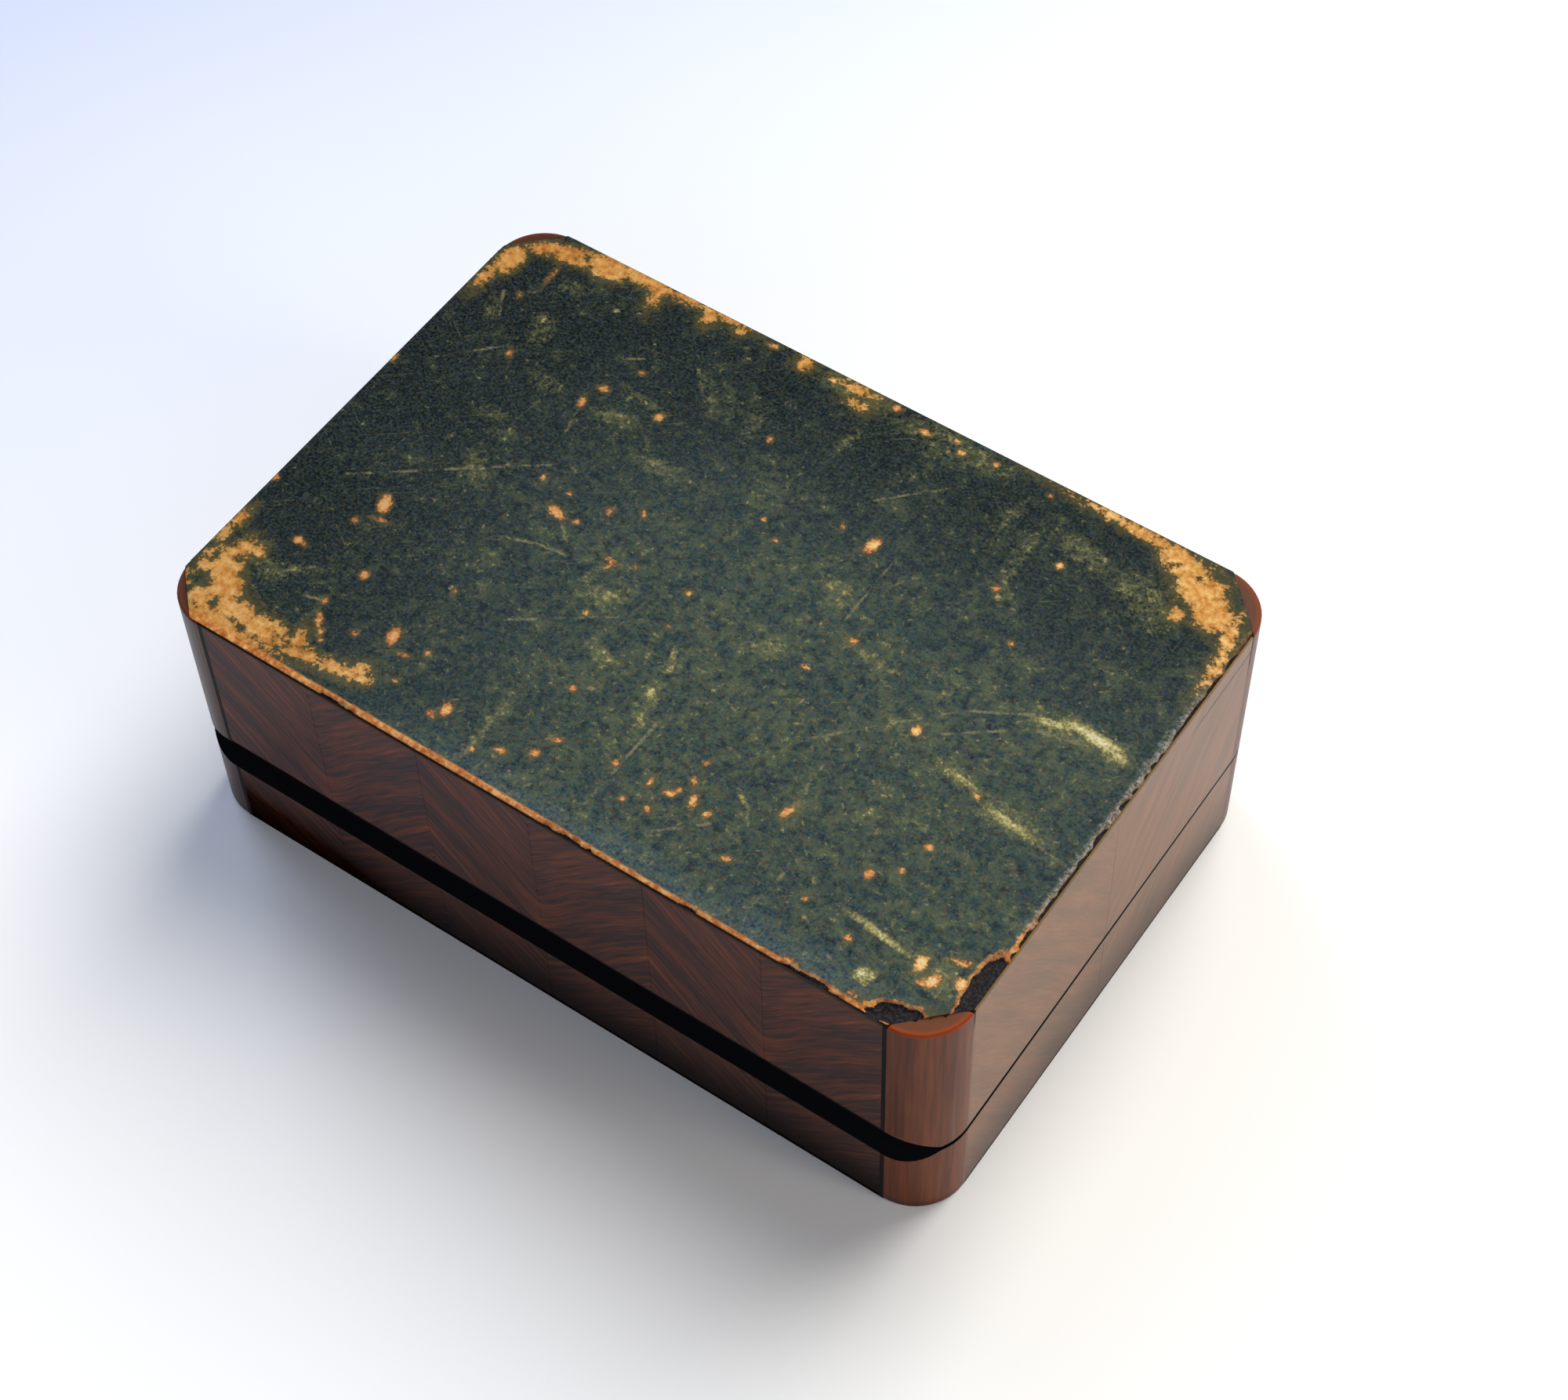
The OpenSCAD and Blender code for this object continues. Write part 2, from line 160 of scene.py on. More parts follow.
def grainNoise(u, v, w, scales, detail, roughness=0.5, bend=0.0):  # scales per millimetre; w may be a number
    w = w * scales[2] if isinstance(w, (int, float)) else times(w, scales[2])
    point = addNode(u.id_data, "ShaderNodeCombineXYZ", inputs={
        "X": times(u, scales[0]), "Y": times(v, scales[1]), "Z": w})
    return addNode(u.id_data, "ShaderNodeTexNoise", inputs={
        "Vector": point.outputs[0], "Scale": 1.0, "Detail": detail, "Roughness": roughness,
        "Distortion": bend}).outputs["Fac"]


def addBump(shader, height, strength, distance):
    bump = addNode(shader.id_data, "ShaderNodeBump", inputs={
        "Height": height, "Strength": strength, "Distance": distance * mm})
    feed(shader, Normal=bump.outputs[0])


# woods, brass and velvet

def jointDark(y, z):  # 1 in the dirty arrises of the saw cut, which rises and narrows from the groove on
    along = larger(plus(y, case["halfD"] - case["grooveDepth"]), 0)
    rise = case["jointRise"] / (2 * case["halfD"] - case["grooveDepth"])
    away = absolute(minus(minus(z, case["jointZ"]), times(along, rise)))
    reach = minus(0.6, times(along, 0.0033))
    return fade(minus(away, reach), 0.1, -0.03)


def chevronVeneer(name, axis, leafWidth, look):
    # sawn rosewood veneer, French polished: dark streaks across red-brown wood under a satin gloss
    material, shader = newMaterial(name, Roughness=look["gloss"], IOR=1.5, Specular_Tint=look["polish"])
    x, y, z = placeOf(shader)
    along, across = (x, y) if axis == "X" else (y, x)
    folded = calc("PINGPONG", along, leafWidth)  # neighbouring leaves mirror each other
    drift = grainNoise(folded, z, 0, (0.06, 0.06, 0), 2)
    cross = shift(minus(times(z, look["lean"]), folded), drift, 4 * look["wobble"])
    grain = plus(z, folded)
    streaks = grainNoise(cross, grain, across, (look["streak"], 0.03, 0.3), 3, 0.55)
    fine = grainNoise(cross, grain, across, (look["fine"], 0.12, 0.3), 2, 0.6)
    broad = grainNoise(cross, grain, across, (0.11, 0.03, 0.1), 1)
    wood = ramp(plus(times(streaks, 0.5), times(fine, 0.36), times(broad, 0.14)), *look["stops"])
    # darker just under the leather's edge; painted shade towards the table, with a painted contact shadow at the foot;
    # dirt along the saw cut
    wood = blend(times(fade(z, 43.4, 43.8), look["topEdgeDark"]), wood, "#140B08")
    # painted shade: the veneer darkens towards the table, most on the lid half
    low = times(fade(z, 16, 0.3), look["lowShade"])
    if axis == "X":  # the painted shade is weaker on the far long side
        low = times(low, inverse(times(fade(y, -1, 1), 0.75)))
    wood = blend(low, wood, "#0C0808")
    # a painted contact shadow in the lowest millimetre
    foot = times(fade(z, 0.9, 0.1), 0.7)
    dirtAndShade = larger(foot, times(jointDark(y, z), 0.95))
    haze = 0
    if axis == "X":  # black from the groove has run a little way up the veneer
        run = times(fade(z, 15, 15.5), fade(y, 1, -1))
        stained = fade(plus(z, times(fine, 0.3)), 18.8, 18.4)
        dirtAndShade = larger(dirtAndShade, times(run, stained, 0.85))
        haze = times(fade(x, -6, -62), 0.5)
    else:  # a short crack in the polish near the far end of the short side
        off = absolute(minus(minus(z, 40.35), times(minus(y, 24), 0.05)))
        near = absolute(minus(y, 26.5))
        crack = times(fade(plus(off, times(fine, 0.3)), 0.6, 0.15), fade(near, 12, 4))
        dirtAndShade = larger(dirtAndShade, times(crack, fade(x, 0, 1)))
    # the reflection is dimmed by the dirt, by the haze and by the painted shade towards the table
    dullAndShaded = plus(times(dirtAndShade, 0.85), haze, times(low, look["lowShadeGleam"]))
    gleam = times(inverse(calc("MINIMUM", dullAndShaded, 1)), look["shine"])
    feed(shader, Base_Color=blend(dirtAndShade, wood, "#0D0706"), Specular_IOR_Level=gleam)
    addBump(shader, fine, look["relief"], 0.03)
    return material


def plainWood(name, low, high, grainAxis, **fixed):
    # quarter-sawn timber, planed and polished: fine lines along the grain
    material, shader = newMaterial(name, **{**polished, **fixed})
    scales = [0.07 if axis == grainAxis else 1.6 for axis in "XYZ"]
    lines = grainNoise(*placeOf(shader), scales, 4, 0.6)
    broad = grainNoise(*placeOf(shader), [s * 0.16 for s in scales], 2)
    wood = ramp(plus(times(lines, 0.6), times(broad, 0.4)), (0.38, low), (0.62, high))
    feed(shader, Base_Color=wood)
    addBump(shader, lines, 0.12, 0.03)
    return material, shader, wood


def makePostWood():
    # turned rosewood corner, upright grain; the polish has worn off its upper arris, which shows bright orange wood;
    # the right-hand posts are painted lighter, with brighter end grain, and the left-hand ones darker: painted light
    # and shade
    material, shader, wood = plainWood("polished rosewood post", "#4C230E", "#743A18", "Z",
                                       Roughness=0.34, Specular_IOR_Level=0.13)
    x, y, z = placeOf(shader)
    out = [minus(absolute(a), case[key]) for a, key in ((x, "postX"), (y, "postY"))]
    radius = calc("SQRT", plus(times(out[0], out[0]), times(out[1], out[1])))
    # painted light: lighter on the right-hand posts, most at the near right
    litSide = fade(x, -20, 20)
    paintedLight = times(litSide, inverse(times(fade(y, -10, 10), 0.4)))
    endGrain = blend(fade(radius, 6.4, 7), blend(paintedLight, "#4A2A1A", "#68371A"), blend(paintedLight, "#5E2C14", "#8A380C"))
    # painted shade: the left-hand posts are darker
    wood = blend(minus(0.62, times(litSide, 0.62)), wood, "#1C1212")
    # painted shade towards the table
    low = times(fade(z, 2, 0.2), 0.5)
    dirtAndShade = larger(low, times(jointDark(y, z), 0.9))
    feed(shader, Base_Color=blend(dirtAndShade, blend(fade(z, 43.45, 43.75), wood, endGrain), "#120906"))
    return material


def makeStringWood():
    # thin string beside the posts of the short sides: painted brown where the short sides' sheen lies over it, which
    # is painted light; dark near the leather, reaching lower at the far end
    material, shader = newMaterial("stained string", Roughness=0.36, IOR=1.5, Specular_Tint="#FFDC94")
    x, y, z = placeOf(shader)
    fleck = grainNoise(x, y, z, (1, 1, 0.5), 2)
    far = times(fade(y, 0, 1), 3.5)  # it reaches lower at the far end
    dark = fade(plus(z, far, times(fleck, 4)), 40.5, 43.5)
    sawn = jointDark(y, z)
    feed(shader, Base_Color=blend(sawn, blend(dark, "#5A3220", "#170D08"), "#120906"),
         Specular_IOR_Level=minus(0.78, times(larger(dark, sawn), 0.72)))
    return material


longLeaf = 2 * (case["postX"] - case["longString"]) / case["longLeaves"]
shortLeaf = 2 * (case["postY"] - case["shortString"]) / case["shortLeaves"]
longVeneer = chevronVeneer("rosewood veneer, long sides", "X", longLeaf, {
    "streak": 0.75, "fine": 2.8, "wobble": 1.1, "lean": 1, "gloss": 0.34, "shine": 0.14, "polish": "#FFFFFF",
    "topEdgeDark": 0.85, "lowShade": 0.9, "lowShadeGleam": 0.9, "relief": 0.08,
    "stops": [(0.34, "#1D1316"), (0.45, "#351C17"), (0.52, "#532718"), (0.6, "#6E351A"), (0.72, "#964B20")]})
# painted light: the short sides are a lighter copy of the same rosewood, with a stronger, warm-tinted reflection
litShortVeneer = chevronVeneer("rosewood veneer, short sides", "Y", shortLeaf, {
    "streak": 0.5, "fine": 2.4, "wobble": 0.8, "lean": 0.7, "gloss": 0.36, "shine": 0.86, "polish": "#FFDA86",
    "topEdgeDark": 0.6, "lowShade": 0.6, "lowShadeGleam": 0.95, "relief": 0.05,
    "stops": [(0.32, "#48281A"), (0.45, "#60341E"), (0.55, "#744026"), (0.7, "#8C5430")]})
postWood = makePostWood()
ebony = plainWood("ebonised pearwood", "#040405", "#08090C", "X", Roughness=0.3, Specular_IOR_Level=0.12)[0]
blackString = plainWood("black stained string", "#0C0A0B", "#1A1415", "Z", Roughness=0.5, Specular_IOR_Level=0.06)[0]
sheenLitString = makeStringWood()
boxwood = plainWood("boxwood", "#B08A4E", "#D9B878", "X")[0]
walnut = plainWood("walnut", "#4A2A18", "#7A4A2A", "Y")[0]
mahogany = plainWood("planed mahogany carcass", "#5E3420", "#8A5232", "X", Roughness=0.5)[0]
brass = newMaterial("lacquered brass", Metallic=1, Roughness=0.32, Base_Color="#B08A42")[0]


def makeCrossbanding():
    # walnut cut in short lengths and polished: its grain runs square to the edge and meets in mitres
    material, shader = newMaterial("walnut crossbanding", **polished)
    x, y, z = placeOf(shader)
    atEnds = calc("GREATER_THAN", minus(absolute(x), case["halfW"]), minus(absolute(y), case["halfD"]))
    lines = [grainNoise(x, y, z, scales, 4, 0.6) for scales in ((1.6, 0.07, 1), (0.07, 1.6, 1))]
    tone = addNode(x.id_data, "ShaderNodeMix", {"data_type": "FLOAT"}, {0: atEnds, 2: lines[0], 3: lines[1]})
    feed(shader, Base_Color=ramp(tone.outputs[0], (0.36, "#3A1E12"), (0.52, "#5C3420"), (0.66, "#80502E")))
    return material


def makeQuarterVeneer():
    # figured rosewood, French polished: one sheet in four matched quarters, mirrored about both middle lines
    material, shader = newMaterial("rosewood in matched quarters", **polished)
    x, y, z = placeOf(shader)
    u, v = absolute(x), absolute(y)
    cross = plus(minus(v, times(u, 0.55)), times(grainNoise(u, v, 0, (0.05, 0.06, 0), 2), 20))
    streaks = grainNoise(cross, u, 0, (0.7, 0.03, 0), 3, 0.55)
    fine = grainNoise(cross, u, 0, (2.8, 0.12, 0), 2, 0.6)
    feed(shader, Base_Color=ramp(plus(times(streaks, 0.6), times(fine, 0.4)), (0.36, "#1E1012"), (0.46, "#421E16"),
                                 (0.55, "#6C321C"), (0.66, "#96501F")))
    return material


def makeVelvet():
    # short-pile cotton velvet: dark where it is looked into, pale at grazing angles, with patches of turned nap
    material, shader = newMaterial("crimson cotton velvet", Roughness=0.95, Specular_IOR_Level=0.1, Sheen_Weight=0.7,
                                   Sheen_Roughness=0.35, Sheen_Tint="#D88A8E")
    pile = grainNoise(*placeOf(shader), (3.2, 3.2, 3.2), 2, 0.7)
    nap = grainNoise(*placeOf(shader), (0.07, 0.11, 0.09), 3, 0.55, 0.6)
    feed(shader, Base_Color=ramp(plus(times(pile, 0.35), times(nap, 0.65)), (0.38, "#3A0A14"), (0.5, "#5C1420"),
                                 (0.62, "#7A2430")))
    addBump(shader, pile, 0.6, 0.12)
    return material


velvet = makeVelvet()
print("woods made")


# ways to make pieces

def linked(name, data):
    o = bpy.data.objects.new(name, data)
    scene.collection.objects.link(o)
    return o


def merged(node):  # a copy of a CAD node's mesh, its doubles merged and its flat faces whole
    bm = bmesh.new()
    bm.from_mesh(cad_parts[node].data)
    bmesh.ops.remove_doubles(bm, verts=bm.verts, dist=0.001 * mm)
    thin = [f for f in bm.faces if any(len(e.link_faces) == 1 for e in f.edges)]  # sheets of no thickness
    bmesh.ops.delete(bm, geom=thin, context="FACES")
    bmesh.ops.dissolve_limit(bm, angle_limit=math.radians(0.2), verts=bm.verts, edges=bm.edges)
    return bm


def camel(node):
    first, *rest = node.split("_")
    return first + "".join(word.capitalize() for word in rest)


def toObject(bm, node, *materials):
    mesh = bpy.data.meshes.new(camel(node))
    bm.to_mesh(mesh)
    bm.free()
    for material in materials:
        mesh.materials.append(material)
    return linked(camel(node), mesh)


def anyArris(a, b):  # an arris's share of the width from its ends: the groove's edges stay as crisp as they were cut
    reach = (case["grooveHalf"] + 0.05) * mm
    crisp = all(v.y < case["grooveY"] * mm and abs(v.z - case["jointZ"] * mm) < reach for v in (a, b))
    return 0.0 if crisp else 1.0


def postArris(a, b):  # only a post's upper and lower outlines are rounded off in use
    outline = min(a.z, b.z) > (case["woodTop"] - 0.1) * mm or max(a.z, b.z) < 0.1 * mm
    return 1.0 if outline else 0.1 * anyArris(a, b)


def roundArrises(o, width, segments=2, share=anyArris):
    bm = bmesh.new()
    bm.from_mesh(o.data)
    weight = bm.edges.layers.float.new("bevel_weight_edge")
    for edge in bm.edges:
        if len(edge.link_faces) == 2 and edge.calc_face_angle() > math.radians(arris["minAngle"]):
            edge[weight] = share(*(v.co for v in edge.verts))
    bm.to_mesh(o.data)
    bm.free()
    bevel = o.modifiers.new("arris", "BEVEL")
    bevel.width = width * mm
    bevel.segments = segments
    bevel.limit_method = "WEIGHT"
    bevel.use_clamp_overlap = True


def smooth(mesh, degrees):  # smooth where the faces nearly meet flat
    mesh.polygons.foreach_set("use_smooth", [True] * len(mesh.polygons))
    mesh.set_sharp_from_angle(angle=math.radians(degrees))


def madePlain(o):  # the modifiers' result as a plain mesh
    bpy.context.view_layer.update()
    graph = bpy.context.evaluated_depsgraph_get()
    mesh = bpy.data.meshes.new_from_object(o.evaluated_get(graph), preserve_all_data_layers=True, depsgraph=graph)
    o.modifiers.clear()
    o.data = mesh
    if len(mesh.materials) > 1 and mesh.materials[0] is None:  # Set Material adds its slot after an empty one
        mesh.materials.pop(index=0)
        mesh.polygons.foreach_set("material_index", [0] * len(mesh.polygons))
    smooth(mesh, 12)
    return o


def finishPiece(o, body, slotName, *nodes):
    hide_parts(*nodes)
    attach(o, body)


def inGroove(centre, normal):  # the blackened bevels of the hinge side, and the rims all round the saw cut, which are painted black as shade in the gap
    away = abs(centre.z - case["jointZ"] * mm)
    bevelled = centre.y < case["grooveY"] * mm and away < (case["grooveHalf"] - 0.03) * mm
    # painted shade: the rims facing across the saw cut are black
    rim = away < (case["jointRise"] + 0.5) * mm and abs(normal.z) > 0.8
    return rim or (bevelled and abs(normal.z) > 0.12)


def stringSlot(centre, normal):  # ebony in the groove and on the saw cut's rims, black on the long sides, brown on the short ones as painted sheen
    return 0 if inGroove(centre, normal) else 2 if abs(centre.x) > case["endStringX"] * mm else 1


def paintFaces(o, choose):  # choose gives a face's slot from its centre and normal
    for face in o.data.polygons:
        face.material_index = int(choose(face.center, face.normal))


def softened(node, width, materials, body, slotName, choose=lambda centre, normal: 0, share=anyArris):
    o = toObject(merged(node), node, *materials)
    roundArrises(o, width, 2, share)
    madePlain(o)
    paintFaces(o, choose)
    finishPiece(o, body, slotName, node)


def geometryTree(name, **sockets):  # sockets are the inputs after the geometry, by name and kind
    tree = bpy.data.node_groups.new(name, "GeometryNodeTree")
    tree.interface.new_socket("Geometry", in_out="OUTPUT", socket_type="NodeSocketGeometry")
    for label, kind in {"Geometry": "Geometry", **sockets}.items():
        tree.interface.new_socket(label, in_out="INPUT", socket_type="NodeSocket" + kind)
    return tree, tree.nodes.new("NodeGroupInput").outputs


def endTree(tree, instances, material):  # every tree ends in Realize Instances and Set Material
    real = addNode(tree, "GeometryNodeRealizeInstances", inputs={0: instances})
    final = addNode(tree, "GeometryNodeSetMaterial", inputs={"Geometry": real.outputs[0], "Material": material})
    tree.links.new(final.outputs[0], tree.nodes.new("NodeGroupOutput").inputs[0])
    return tree


def useTree(o, tree, **values):  # values by the inputs' names
    modifier = o.modifiers.new(tree.name, "NODES")
    modifier.node_group = tree
    for item in tree.interface.items_tree:
        if item.item_type == "SOCKET" and item.in_out == "INPUT" and item.name in values:
            modifier[item.identifier] = values[item.name]


def pointLine(tree, count, offset, start=(0, 0, 0)):
    return addNode(tree, "GeometryNodeMeshLine", {"mode": "OFFSET"}, {
        "Count": count, "Offset": offset, "Start Location": start}).outputs[0]


def onPoints(points, instance, **turn):
    return addNode(points.id_data, "GeometryNodeInstanceOnPoints", inputs={
        "Points": points, "Instance": instance, **turn}).outputs[0]


def vectorOf(**parts):
    tree = next(iter(parts.values())).id_data
    return addNode(tree, "ShaderNodeCombineXYZ", inputs=parts).outputs[0]


def aboutZ(angle):
    return addNode(angle.id_data, "FunctionNodeEulerToRotation", inputs={0: vectorOf(Z=angle)}).outputs[0]


def makeLeafRow():  # one leaf repeated at equal steps
    tree, given = geometryTree("leaf row", Count="Int", Step="Vector", Wood="Material")
    line = pointLine(tree, given["Count"], given["Step"])
    return endTree(tree, onPoints(line, given[0]), given["Wood"])


def makeWheel():  # one piece repeated round the middle of the lid's face
    tree, given = geometryTree("wheel", Count="Int", Turn="Float", Wood="Material")
    line = pointLine(tree, given["Count"], (0, 0, 0))
    angle = times(addNode(tree, "GeometryNodeInputIndex").outputs[0], given["Turn"])
    return endTree(tree, onPoints(line, given[0], Rotation=aboutZ(angle)), given["Wood"])


def makeScrewPairs():  # two screws in each of two hinges, their slots turned at random
    tree, given = geometryTree("screw pairs", Spacing="Float", Pair="Float", Seed="Int", Metal="Material")
    lines = [pointLine(tree, 2, vectorOf(X=given[key]), vectorOf(X=times(given[key], -0.5)))
             for key in ("Spacing", "Pair")]
    places = addNode(tree, "GeometryNodeRealizeInstances", inputs={0: onPoints(*lines)}).outputs[0]
    angle = addNode(tree, "FunctionNodeRandomValue", {"data_type": "FLOAT"}, {
        2: 0.0, 3: math.pi, "Seed": given["Seed"]}).outputs[1]
    return endTree(tree, onPoints(places, given[0], Rotation=aboutZ(angle)), given["Metal"])


def island(node, nearest):  # the loose part of a CAD node that is nearest to a point, in millimetres
    bm = merged(node)
    seed = min(bm.verts, key=lambda v: (v.co - Vector(nearest) * mm).length)
    found, stack = {seed}, [seed]
    while stack:
        for edge in stack.pop().link_edges:
            for v in edge.verts:
                if v not in found:
                    found.add(v)
                    stack.append(v)
    bmesh.ops.delete(bm, geom=[v for v in bm.verts if v not in found], context="VERTS")
    return bm


# carcass, posts and strings

for body in ("lid", "tray"):
    for side in ("back", "front", "left", "right"):
        softened(f"{body}_{side}_wall", arris["carcass"], [mahogany, ebony], body, "carcass_wood", inGroove)
    softened(f"{body}_corner_posts", arris["post"], [postWood, ebony], body, "post_wood", inGroove, postArris)
    softened(f"{body}_corner_strings", arris["veneer"], [ebony, blackString, sheenLitString], body, "ebonised_wood",
             stringSlot)
for node in ("lid_top_board", "tray_base_board"):
    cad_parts[node].data.materials.clear()
    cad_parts[node].data.materials.append(mahogany)
print("carcass made")

# side veneers: rows of leaves on the long sides; the short sides' leaves differ, as the saw cut rises there

leafRow = makeLeafRow()
for body, z in (("lid", 1), ("tray", 43)):
    for side, way in (("back", 1), ("front", -1)):
        end = way * (case["longString"] + longLeaf / 2 - case["postX"])
        node = f"{body}_{side}_veneers"
        o = toObject(island(node, (end, -way * case["halfD"], z)), node)
        roundArrises(o, arris["veneer"], 1)
        useTree(o, leafRow, Count=case["longLeaves"], Step=(way * longLeaf * mm, 0, 0), Wood=longVeneer)
        madePlain(o)
        o.data.materials.append(ebony)
        paintFaces(o, inGroove)
        finishPiece(o, body, "veneer", node)
    for side in ("left", "right"):
        softened(f"{body}_{side}_veneers", arris["veneer"], [litShortVeneer, ebony], body, "veneer", inGroove)
print("side veneers made")

# hinges

hinge = {"spacing": 66, "screwX": 4.4, "screwY": -35.2, "seeds": {"lid": 3, "tray": 8}}
for side in ("left", "right"):
    for body in ("lid", "tray"):
        softened(f"{body}_hinge_leaf_{side}", arris["brass"], [brass], body, "hinge_brass")
    softened(f"hinge_pin_{side}", arris["pin"], [brass], "lid", "hinge_brass")
screwPairs = makeScrewPairs()
for body, seed in hinge["seeds"].items():
    node = f"{body}_hinge_screws"
    x, y = hinge["spacing"] / 2 + hinge["screwX"], hinge["screwY"]
    bm = island(node, (x, y, case["jointZ"]))
    bmesh.ops.translate(bm, verts=bm.verts, vec=(-x * mm, -y * mm, 0))
    o = toObject(bm, node)
    roundArrises(o, arris["screw"], 1)
    useTree(o, screwPairs, Spacing=hinge["spacing"] * mm, Pair=2 * hinge["screwX"] * mm, Seed=seed, Metal=brass)
    madePlain(o)
    o.data.transform(Matrix.Translation((0, y * mm, 0)))
    finishPiece(o, body, "hinge_brass", node)
print("hinges made")

# marquetry of the lid's face

wheel = makeWheel()
starPoints = 8
for node, wood, slotName, place in (("lid_star_light", boxwood, "light_wood", (-0.5, 12, 0)),
                                    ("lid_star_dark", ebony, "ebonised_wood", (0.5, 12, 0)),
                                    ("lid_star_ground", walnut, "post_wood", (-6, 15, 0))):
    o = toObject(island(node, place), node)
    roundArrises(o, arris["inlay"], 1)
    useTree(o, wheel, Count=starPoints, Turn=2 * math.pi / starPoints, Wood=wood)
    finishPiece(madePlain(o), "lid", slotName, node)
softened("lid_crossbanding", arris["inlay"], [makeCrossbanding()], "lid", "post_wood")
softened("lid_field_veneers", arris["inlay"], [makeQuarterVeneer()], "lid", "veneer")
for part in ("field_string", "star_ring", "star_button"):
    softened(f"lid_{part}", arris["inlay"], [boxwood], "lid", "light_wood")
print("marquetry made")

# base leather

leatherSize = {
    "halfX": 59.75, "halfY": 40, "thick": 0.42, "grid": 0.35,
    "cuts": {(1, -1): 7.4, (-1, -1): 5.8, (-1, 1): 6.4, (1, 1): 6.9},  # how much each corner is cut back
    "glue": 0.03, "uneven": 0.012, "bareDepth": 0.07, "speckDepth": 0.06, "scratchDepth": 0.05, "edgeDrop": 0.16,
}

# worn marks, in millimetres on the leather: x, y, half length, half width and, where there is one, turn in degrees
worn = [
    (-52, -36.2, 7, 2.5, -8), (-44.5, -36.3, 3.6, 1.7), (-56.6, -31.2, 2.2, 2.4), (-57.3, -36.8, 2.4, 2.4),
    (-55.2, -27.6, 1, 1.6), (-53.4, -27, 0.8, 0.8), (-58.9, -24, 0.7, 1.3), (-59.3, -27, 0.7, 1.6),
    (-39.8, -36, 1, 2.2, 10), (-38, -36.6, 2.2, 0.9), (-33.6, -36, 2.2, 0.9, 8), (-30.6, -34.9, 0.9, 1.4, -20),
    (-29.2, -35.4, 0.8, 0.7), (-57.3, 32, 1.6, 2.6), (-58.4, 27.6, 0.7, 2), (-54.5, 36.4, 2.2, 1.1, 25),
    (-50, 37.4, 4, 1.4, 12), (-45, 38.2, 3, 2), (-39.5, 39.2, 5, 1.1), (-36.6, 37.8, 0.8, 1.9, 12),
    (-32, 39.6, 2.6, 0.6), (-28.3, 38.8, 0.9, 1.6, 12), (-26, 39.7, 2.6, 0.6), (-23.2, 38.9, 0.5, 0.7),
    (-12.6, 38.7, 1.1, 1), (-2.6, 36.5, 1.2, 0.5), (-4, 38.9, 2.2, 0.7), (40, 39, 8, 0.7, -3),
    (46.5, 37.4, 3.6, 1.9, -25), (50.5, 35.6, 3.4, 3, -45), (54, 32.8, 3, 2.6, -50), (57.6, 30, 1, 3.4, 8),
    (58.6, 25.2, 0.6, 2.8), (50.2, 29.9, 0.9, 0.9), (49.6, -38.9, 3, 0.4, 22), (-55.6, -30.6, 2.2, 2.8),
    (-54.2, -33.2, 3.4, 2.2, -20), (-50, -38.9, 7.6, 1.2),
]
keptDye = [  # dye that is still there inside the worn patches
    (-56.8, -34.6, 1.7, 1.6), (52, 38.3, 2.6, 1, -8), (55.9, 35.2, 1.3, 1.1, -40), (-57.2, -36.4, 1, 0.9),
    (-52.8, -36.6, 0.6, 1.1, 40), (-43.5, -38.4, 1.6, 0.5, -15), (-38.4, -38.1, 2.5, 0.8), (-51, 39.6, 5, 0.5, 8),
    (55.9, 35.6, 0.9, 1.6, 40), (53.3, 38.4, 1.6, 0.9, -25), (-54.6, 30.8, 0.3, 0.9), (45.8, 36.6, 0.7, 0.3, 20),
    (56.2, 27.6, 1.5, 2.2), (-54.4, 38.4, 2.4, 0.8, 40), (-57.8, -30.4, 0.7, 1.2), (-54.4, -29.3, 0.9, 0.6, 30),
    (-50.4, -34.2, 0.8, 0.6), (-47.4, -37.8, 1.8, 0.5, -10), (-41.4, -36.3, 1.2, 0.4, -10),
    (-48.6, 37.9, 0.9, 0.5, 20), (50, 36.6, 0.6, 0.5),
]
